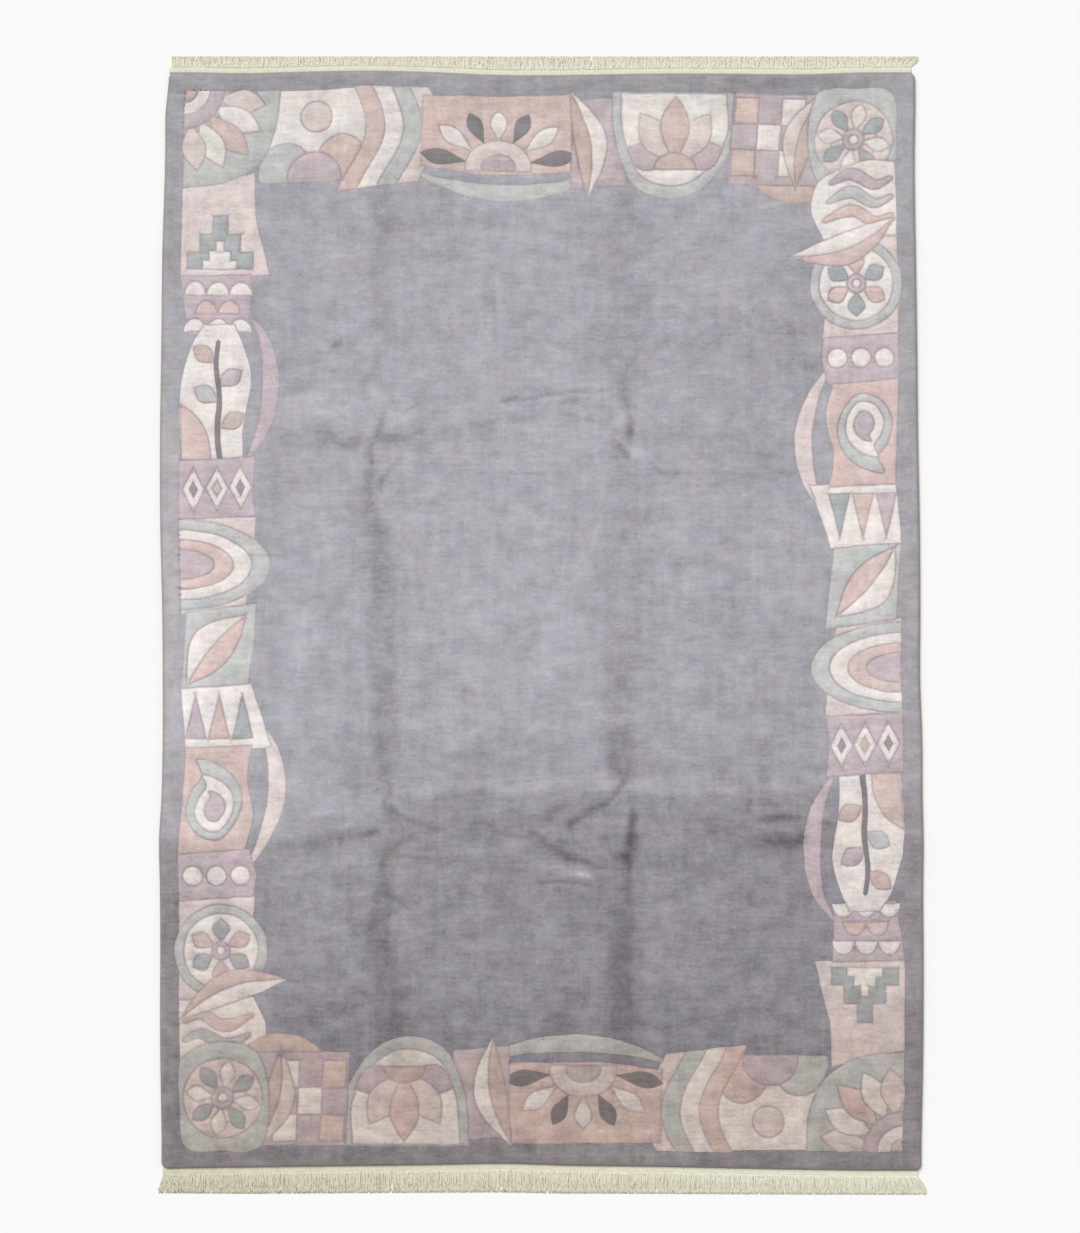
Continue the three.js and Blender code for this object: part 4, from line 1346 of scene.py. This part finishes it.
def yarn_ends(name, end, seed, chance, left_tip, right_tip):
    """Root x, tip x, root y and tip y of each yarn. Roots are spread along the edge, and tips drawn
    together or apart in loose tassels."""
    share = (np.arange(FRINGE_YARNS) + chance.uniform(-0.4, 0.4, FRINGE_YARNS)) / (FRINGE_YARNS - 1)
    tassels = FRINGE_YARNS / YARNS_TO_A_TASSEL
    tassel = np.floor(share * tassels + chance.uniform(-0.25, 0.25, FRINGE_YARNS))
    right = PILE_WIDTH / 2 - ROOT_INSET
    left = -right
    root_x = left + (right - left) * share.clip(0, 1)
    tassel_x = left + (right - left) * ((tassel + 0.5) / tassels).clip(0, 1)
    lean = drift(tassel * 0.37, tassel * 0.11, 1.0, seed + 1) * TASSEL_LEAN
    pull = chance.uniform(-0.2, 0.4, FRINGE_YARNS)
    tip_x = root_x + (tassel_x - root_x) * pull + lean + chance.normal(0, TIP_SCATTER, FRINGE_YARNS)
    for corner, tip in ((left, left_tip), (right, right_tip)):
        tip_x += (tip - corner) * np.exp(-(((root_x - corner) / SPLAY_WIDTH) ** 2))
    root_y = end_line(end, root_x) + end * ROOT_OUT
    low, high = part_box(name)
    tip_y = (high if end > 0 else low)[1] + end * np.interp(tip_x, *np.transpose(TIPS_PAST[end]))
    cut = chance.uniform(0, 1, FRINGE_YARNS) ** 2.2
    cut *= np.where(chance.uniform(0, 1, FRINGE_YARNS) < 0.08, CUT_SOMETIMES, CUT_MOSTLY)
    return root_x, tip_x, root_y, tip_y - end * (CUT_LEAST + cut)


def yarn_rings(ends, upper, t, chance, left_tip, right_tip):
    """The points of all yarns. Along a yarn, with t from the root at 0 to the tip at 1,
    x = root + (tip - root) t^0.8 + sway sin(pi t) + t times the sum of size * sin(half turns * pi t + phase),
    y goes evenly, and z lifts every other yarn over its neighbours in the middle of its length. A yarn is
    thinner where it comes out of the strip and at its tip."""
    root_x, tip_x, root_y, tip_y = [values[:, None] for values in ends]
    each = (FRINGE_YARNS, 1)
    sway = chance.normal(0, SWAY, each) * np.sin(np.pi * t)
    wave = sum(chance.normal(0, size, each) * np.sin(turns * np.pi * t + chance.uniform(0, 6, each))
               for size, turns in WAVES)
    x = root_x + (tip_x - root_x) * t**0.8 + sway + wave * t
    x = np.clip(x, left_tip + YARN_RADIUS, right_tip - YARN_RADIUS)
    y = root_y + (tip_y - root_y) * t
    thick = YARN_RADIUS * chance.uniform(0.80, 1.12, each) * (0.62 + 0.38 * smooth_step(0, 0.3, t))
    thick = thick * (1 - 0.45 * smooth_step(0.78, 1.0, t))
    lift = upper[:, None] * YARN_RADIUS * smooth_step(0, 0.35, t) * (1 - smooth_step(0.45, 1.0, t))
    z = (thick + lift) * YARN_FLATNESS + ROOT_RISE * (1 - smooth_step(0, 0.3, t))

    angle = np.arange(YARN_SIDES) / YARN_SIDES * 2 * np.pi + np.pi / 2
    ring_x = x[..., None] + np.cos(angle) * thick[..., None]
    ring_z = np.maximum(z[..., None] + np.sin(angle) * thick[..., None] * YARN_FLATNESS, 0)
    return np.stack([ring_x, np.broadcast_to(y[..., None], ring_x.shape), ring_z], -1).reshape(-1, 3)


def fringe(name, end, seed, left_tip, right_tip):
    """Warp ends in loose tassels: each is a thin tube along a wandering path on the floor, in one of two
    layers, and the roots lie in the woven strip."""
    chance = np.random.default_rng(seed)
    t = np.linspace(0, 1, YARN_SECTIONS)
    upper = np.arange(FRINGE_YARNS) % 2
    ends = yarn_ends(name, end, seed, chance, left_tip, right_tip)
    points = yarn_rings(ends, upper, t, chance, left_tip, right_tip)
    strip = woven_strip(end)
    yarn_faces, yarn_caps = tubes(FRINGE_YARNS, YARN_SECTIONS, YARN_SIDES, end > 0)
    strip_faces, strip_caps = tubes(1, STRIP_ROWS, len(STRIP_SECTION), end < 0)
    groups = [yarn_faces, strip_faces + len(points), yarn_caps, strip_caps + len(points)]
    piece = mesh_piece(name + "_yarns", np.vstack([points, strip]), groups)

    each = YARN_SECTIONS * YARN_SIDES
    along = np.tile(np.repeat(t, YARN_SIDES), FRINGE_YARNS)
    soiled = np.interp(np.concatenate([points[:, 0], strip[:, 0]]), *np.transpose(SOILED[end]))
    for attribute, values, on_strip in (
        ("shade", np.repeat(chance.uniform(0, 1, FRINGE_YARNS), each), STRIP_SHADE),
        ("under", np.repeat(1 - upper, each), 0),
        ("along", along, 0),
        ("around", np.tile(np.arange(YARN_SIDES) / YARN_SIDES, FRINGE_YARNS * YARN_SECTIONS), 0),
        ("soiled", soiled[: len(points)], soiled[len(points):]),
        # How light each yarn is painted along its length: painted light and shade.
        ("painted_lightness", np.interp(along, *np.transpose(YARNS_PAINTED_LIGHTNESS[end])), STRIP_PAINTED_LIGHTNESS[end]),
    ):
        give(piece, attribute, np.concatenate([values, np.broadcast_to(on_strip, len(strip))]))
    return piece


# Materials

class Tone:
    """A socket of a material. Arithmetic on it adds Math nodes."""

    def __init__(self, finish, socket):
        self.finish = finish
        self.socket = socket

    def _math(self, operation, *values):
        return self.finish.node("Math", {"operation": operation}, dict(enumerate(values)))

    def __add__(self, other):
        return self._math("ADD", self, other)

    def __sub__(self, other):
        return self._math("SUBTRACT", self, other)

    def __rsub__(self, other):
        return self._math("SUBTRACT", other, self)

    def __mul__(self, other):
        return self._math("MULTIPLY", self, other)

    def __pow__(self, other):
        return self._math("POWER", self, other)

    def at_most(self, other):
        """The lesser of two values."""
        return self._math("MINIMUM", self, other)

    def sine(self):
        """The sine of an angle in radians."""
        return self._math("SINE", self)

    __radd__ = __add__
    __rmul__ = __mul__


class Finish:
    """A material that is built node by node."""

    def __init__(self, name, sheen=0.0):
        self.material = bpy.data.materials.new(name)
        self.material.use_nodes = True
        self.tree = self.material.node_tree
        self.surface = self.tree.nodes["Principled BSDF"]
        self.set(Sheen_Weight=sheen, Sheen_Roughness=0.55, Specular_IOR_Level=0.25)

    def feed(self, socket, value):
        """Links a tone to a socket, or sets the socket to a plain value."""
        if isinstance(value, Tone):
            self.tree.links.new(value.socket, socket)
        else:
            socket.default_value = value

    def set(self, **sockets):
        """Feeds the surface's own sockets."""
        for key, value in sockets.items():
            self.feed(self.surface.inputs[key.replace("_", " ")], value)

    def node(self, kind, settings=None, inputs=None, output=0):
        """One node: its type, then its settings, then the values or links of its sockets."""
        made = self.tree.nodes.new("ShaderNode" + kind)
        for key, value in (settings or {}).items():
            setattr(made, key, value)
        for key, value in (inputs or {}).items():
            self.feed(made.inputs[key], value)
        return Tone(self, made.outputs[output])

    def stored(self, name, output="Fac"):
        """A value or colour that the mesh stores under a name."""
        return self.node("Attribute", {"attribute_name": name}, output=output)

    def noise(self, scale, detail, rough):
        """Soft noise over object coordinates that are stretched by a scale in each direction."""
        place = self.node("TexCoord", output="Object")
        at = self.node("VectorMath", {"operation": "MULTIPLY"}, {0: place, 1: scale})
        inputs = {"Vector": at, "Scale": 1.0, "Detail": detail, "Roughness": rough}
        return self.node("TexNoise", inputs=inputs)

    def mix(self, share, first, second, blend="MIX"):
        """Two colours mixed by a share from 0 to 1."""
        settings = {"data_type": "RGBA", "blend_type": blend}
        return self.node("Mix", settings, {0: share, 6: first, 7: second}, output=2)

    def times(self, first, second):
        """Two colours multiplied, channel by channel."""
        return self.mix(1.0, first, second, "MULTIPLY")

    def ramp(self, value, *stops):
        """A value turned into a share by a straight line between two stops of (value, share)."""
        made = self.node("ValToRGB", inputs={0: value})
        for stop, (place, share) in zip(made.socket.node.color_ramp.elements, stops):
            stop.position = place
            stop.color = (share, share, share, 1)
        return made

    def scaled(self, colour, factor):
        """A colour made brighter or darker by a factor."""
        return self.node("VectorMath", {"operation": "SCALE"}, {0: colour, "Scale": factor})

    def bumps(self, strength, distance, height):
        """The surface's direction, tipped by a height."""
        return self.node("Bump", inputs={"Strength": strength, "Distance": distance, "Height": height})


def wool_pile():
    """Clipped wool: a yarn colour with painted shade, darker and warmer where the pile leans away, with
    streaks of the rows of knots, mottling by the hand-spun yarn, clipped lines in painted shade with a dusky
    tint, and painted shade along the creases and along the edge."""
    wool = Finish("wool_pile", sheen=0.12)
    carving, edge = wool.stored("carving"), wool.stored("edge")
    # The ground's painted light and shade of its lay, which light yarns follow less.
    lay_shade = wool.stored("lay_shade") ** wool.stored("yarn", "Alpha")
    tufts = wool.noise((330, 330, 330), 2, 0.6)
    dashes = wool.noise((24, 150, 40), 2, 0.5)
    columns = wool.noise((54, 8, 40), 1, 0.5)
    grain = wool.noise((112, 125, 60), 2, 0.6)
    patches = wool.noise((42, 48, 40), 3, 0.6)
    clouds = wool.noise((15, 24, 20), 2, 0.5)
    fine = 0.08 * tufts + 0.30 * dashes + 0.20 * columns + 0.32 * grain
    spun = (fine + 0.36 * patches + 0.50 * clouds) - 0.88
    uneven = 1 + spun * (2.2 - 1.2 * lay_shade.at_most(1.05))
    # Painted shade along the creases, broken up by noise.
    crease_shade = wool.ramp(wool.noise((75, 120, 40), 2, 0.6), (0.46, 0.0), (0.62, 1.0)) * wool.stored("crease")

    # Where the painted shade is deep, the colour turns warmer as well.
    lean = wool.ramp(lay_shade, (0.45, 0.0), (1.0, 1.0))
    tint = wool.mix(lean, (1.045, 0.983, 0.986, 1), (1, 1, 1, 1))
    warm = wool.ramp(wool.noise((13, 15, 20), 5, 0.62), (0.36, 0.0), (0.64, 1.0))
    tint = wool.times(tint, wool.mix(warm, (0.980, 1.011, 1.006, 1), (1.020, 0.989, 0.994, 1)))
    violet = wool.ramp(wool.noise((20, 17, 30), 5, 0.70), (0.36, 0.0), (0.64, 1.0))
    tint = wool.times(tint, wool.mix(violet, (1.010, 1.010, 0.969, 1), (0.990, 0.990, 1.031, 1)))
    colour = wool.times(wool.stored("yarn", "Color"), tint)
    # Painted shade in the clipped grooves, with a dusky tint of its own.
    groove = wool.ramp(carving, (0.36, 0.0), (0.80, 1.0)) * wool.stored("line")
    shade = wool.mix(0.45, daylight(*GROOVE_SHADE), wool.scaled(colour, 0.66))
    colour = wool.mix(groove, colour, shade)
    colour = wool.scaled(colour, uneven * lay_shade * (1.02 - 0.11 * crease_shade))
    # Painted shade along the pile's edge.
    colour = wool.mix(0.7 * edge, colour, daylight(*EDGE_SHADE))
    height = 0.5 * tufts + 0.2 * dashes + 0.15 * patches + 0.25 * grain
    wool.set(Base_Color=colour, Roughness=0.93, Normal=wool.bumps(0.45, 0.0025, height))
    return wool.material


def knot_backs():
    """The underside: the same yarns, flat, with a ridge for each row of knots."""
    back = Finish("wool_back")
    rows = back.noise((60, 300, 40), 1, 0.5)
    warps = back.noise((300, 50, 40), 1, 0.5)
    colour = back.scaled(back.stored("yarn", "Color"), 0.62 + 0.3 * rows + 0.2 * warps)
    back.set(Base_Color=colour, Roughness=0.9, Normal=back.bumps(0.5, 0.001, rows + warps))
    return back.material


def cotton_warp():
    """Undyed cotton: each yarn a little different, browner where it is soiled, with painted shade where it
    lies under others, short brown flecks towards the tips that are partly soiling and partly painted shade,
    and painted light and shade along its length."""
    cotton = Finish("cotton_warp", sheen=0.05)
    shade, under, along = cotton.stored("shade"), cotton.stored("under"), cotton.stored("along")
    soiled = cotton.stored("soiled")
    dust = cotton.noise((38, 60, 60), 2, 0.5)
    fibre = cotton.noise((700, 220, 700), 1, 0.5)
    flecks = cotton.ramp(cotton.noise((300, 130, 200), 1, 0.5), (0.56, 0.0), (0.70, 1.0))
    dull = cotton.ramp(shade, (0.70, 0.0), (1.0, 0.4))
    mottle = cotton.noise((190, 160, 100), 2, 0.6)
    brown = daylight(*COTTON_SOIL_AND_SHADE)
    colour = cotton.mix(soiled * (0.35 + 1.1 * dust), daylight(*COTTON), brown)
    colour = cotton.mix(dull * along, colour, brown)
    # Painted shade of yarns that lie under others.
    colour = cotton.mix(0.10 * under * along, colour, brown)
    # Brown flecks: partly soiling, partly painted shade in the gaps between yarns.
    colour = cotton.mix(2.2 * soiled * along * flecks, colour, daylight(*FLECKS))
    # Painted light and shade along the yarns and on the strip.
    colour = cotton.scaled(colour, cotton.stored("painted_lightness") * (0.72 + 0.16 * fibre + 0.40 * mottle))
    twist = (18.85 * cotton.stored("around") + 75.0 * along).sine()
    cotton.set(Base_Color=colour, Roughness=0.92, Normal=cotton.bumps(0.2, 0.0004, 0.5 * twist + fibre))
    return cotton.material


def studio_floor():
    """A plain pale floor."""
    floor = Finish("pale_floor")
    floor.set(Base_Color=(FLOOR_WHITE, FLOOR_WHITE, FLOOR_WHITE * 0.995, 1), Roughness=0.9)
    return floor.material


# The rug

def dress(piece, *materials):
    """Puts materials on a piece."""
    for material in materials:
        piece.data.materials.append(material)


rug = rug_pile()
dress(rug, wool_pile(), knot_backs())
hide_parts("rug_pile")

cotton_finish = cotton_warp()
top_fringe = fringe("fringe_top", 1, 71, -0.990, 1.016)
bottom_fringe = fringe("fringe_bottom", -1, 72, -1.007, CAD_BOX[1][0] - 0.001)
for piece, node in ((top_fringe, "fringe_top"), (bottom_fringe, "fringe_bottom")):
    dress(piece, cotton_finish)
    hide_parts(node)


# Stage, camera and light

# Half the floor's side and the camera's place, in metres; the camera's tilt and lens are in degrees and
# millimetres.
FLOOR_REACH = 14.0
CAMERA_AIM = (-0.0008, 0.00915, 0)
CAMERA_AWAY = 6.0
CAMERA_TILT = 2.1
CAMERA_LENS = 65.82
CAMERA_SENSOR = 36
# The sun's strength, how wide it looks and how it is turned, in degrees, and the even light of the sky.
SUN = 2.15
SUN_WIDTH = 34
SUN_TURN = (-38, -24, 0)
SKY = 0.5


def link(name, data):
    """A new object in the scene."""
    made = bpy.data.objects.new(name, data)
    bpy.context.collection.objects.link(made)
    return made


def stage_floor():
    """A plain square of floor under the rug."""
    mesh = bpy.data.meshes.new("studio_floor")
    corners = [(x * FLOOR_REACH, y * FLOOR_REACH, 0) for x, y in ((-1, -1), (1, -1), (1, 1), (-1, 1))]
    mesh.from_pydata(corners, [], [(0, 1, 2, 3)])
    floor = link("studio_floor", mesh)
    dress(floor, studio_floor())


def studio_camera():
    """Above the rug and tipped a little, so that its near end looks a touch wider, as in the photograph."""
    tilt = np.radians(CAMERA_TILT)
    data = bpy.data.cameras.new("camera")
    data.sensor_width = CAMERA_SENSOR
    data.lens = CAMERA_LENS
    data.clip_end = 60
    camera = link("camera", data)
    back = Vector((0, -np.sin(tilt) * CAMERA_AWAY, np.cos(tilt) * CAMERA_AWAY))
    camera.location = Vector(CAMERA_AIM) + back
    camera.rotation_euler = (tilt, 0, 0)
    bpy.context.scene.camera = camera


def studio_light():
    """One wide soft light from the upper left and even light all round."""
    data = bpy.data.lights.new("soft_key", "SUN")
    data.energy = SUN
    data.angle = np.radians(SUN_WIDTH)
    key = link("soft_key", data)
    key.rotation_euler = tuple(np.radians(SUN_TURN))
    world = bpy.data.worlds.new("studio")
    world.use_nodes = True
    world.node_tree.nodes["Background"].inputs["Color"].default_value = (1, 1, 1, 1)
    world.node_tree.nodes["Background"].inputs["Strength"].default_value = SKY
    bpy.context.scene.world = world


stage_floor()
studio_camera()
studio_light()
bpy.context.scene.view_settings.view_transform = "Standard"
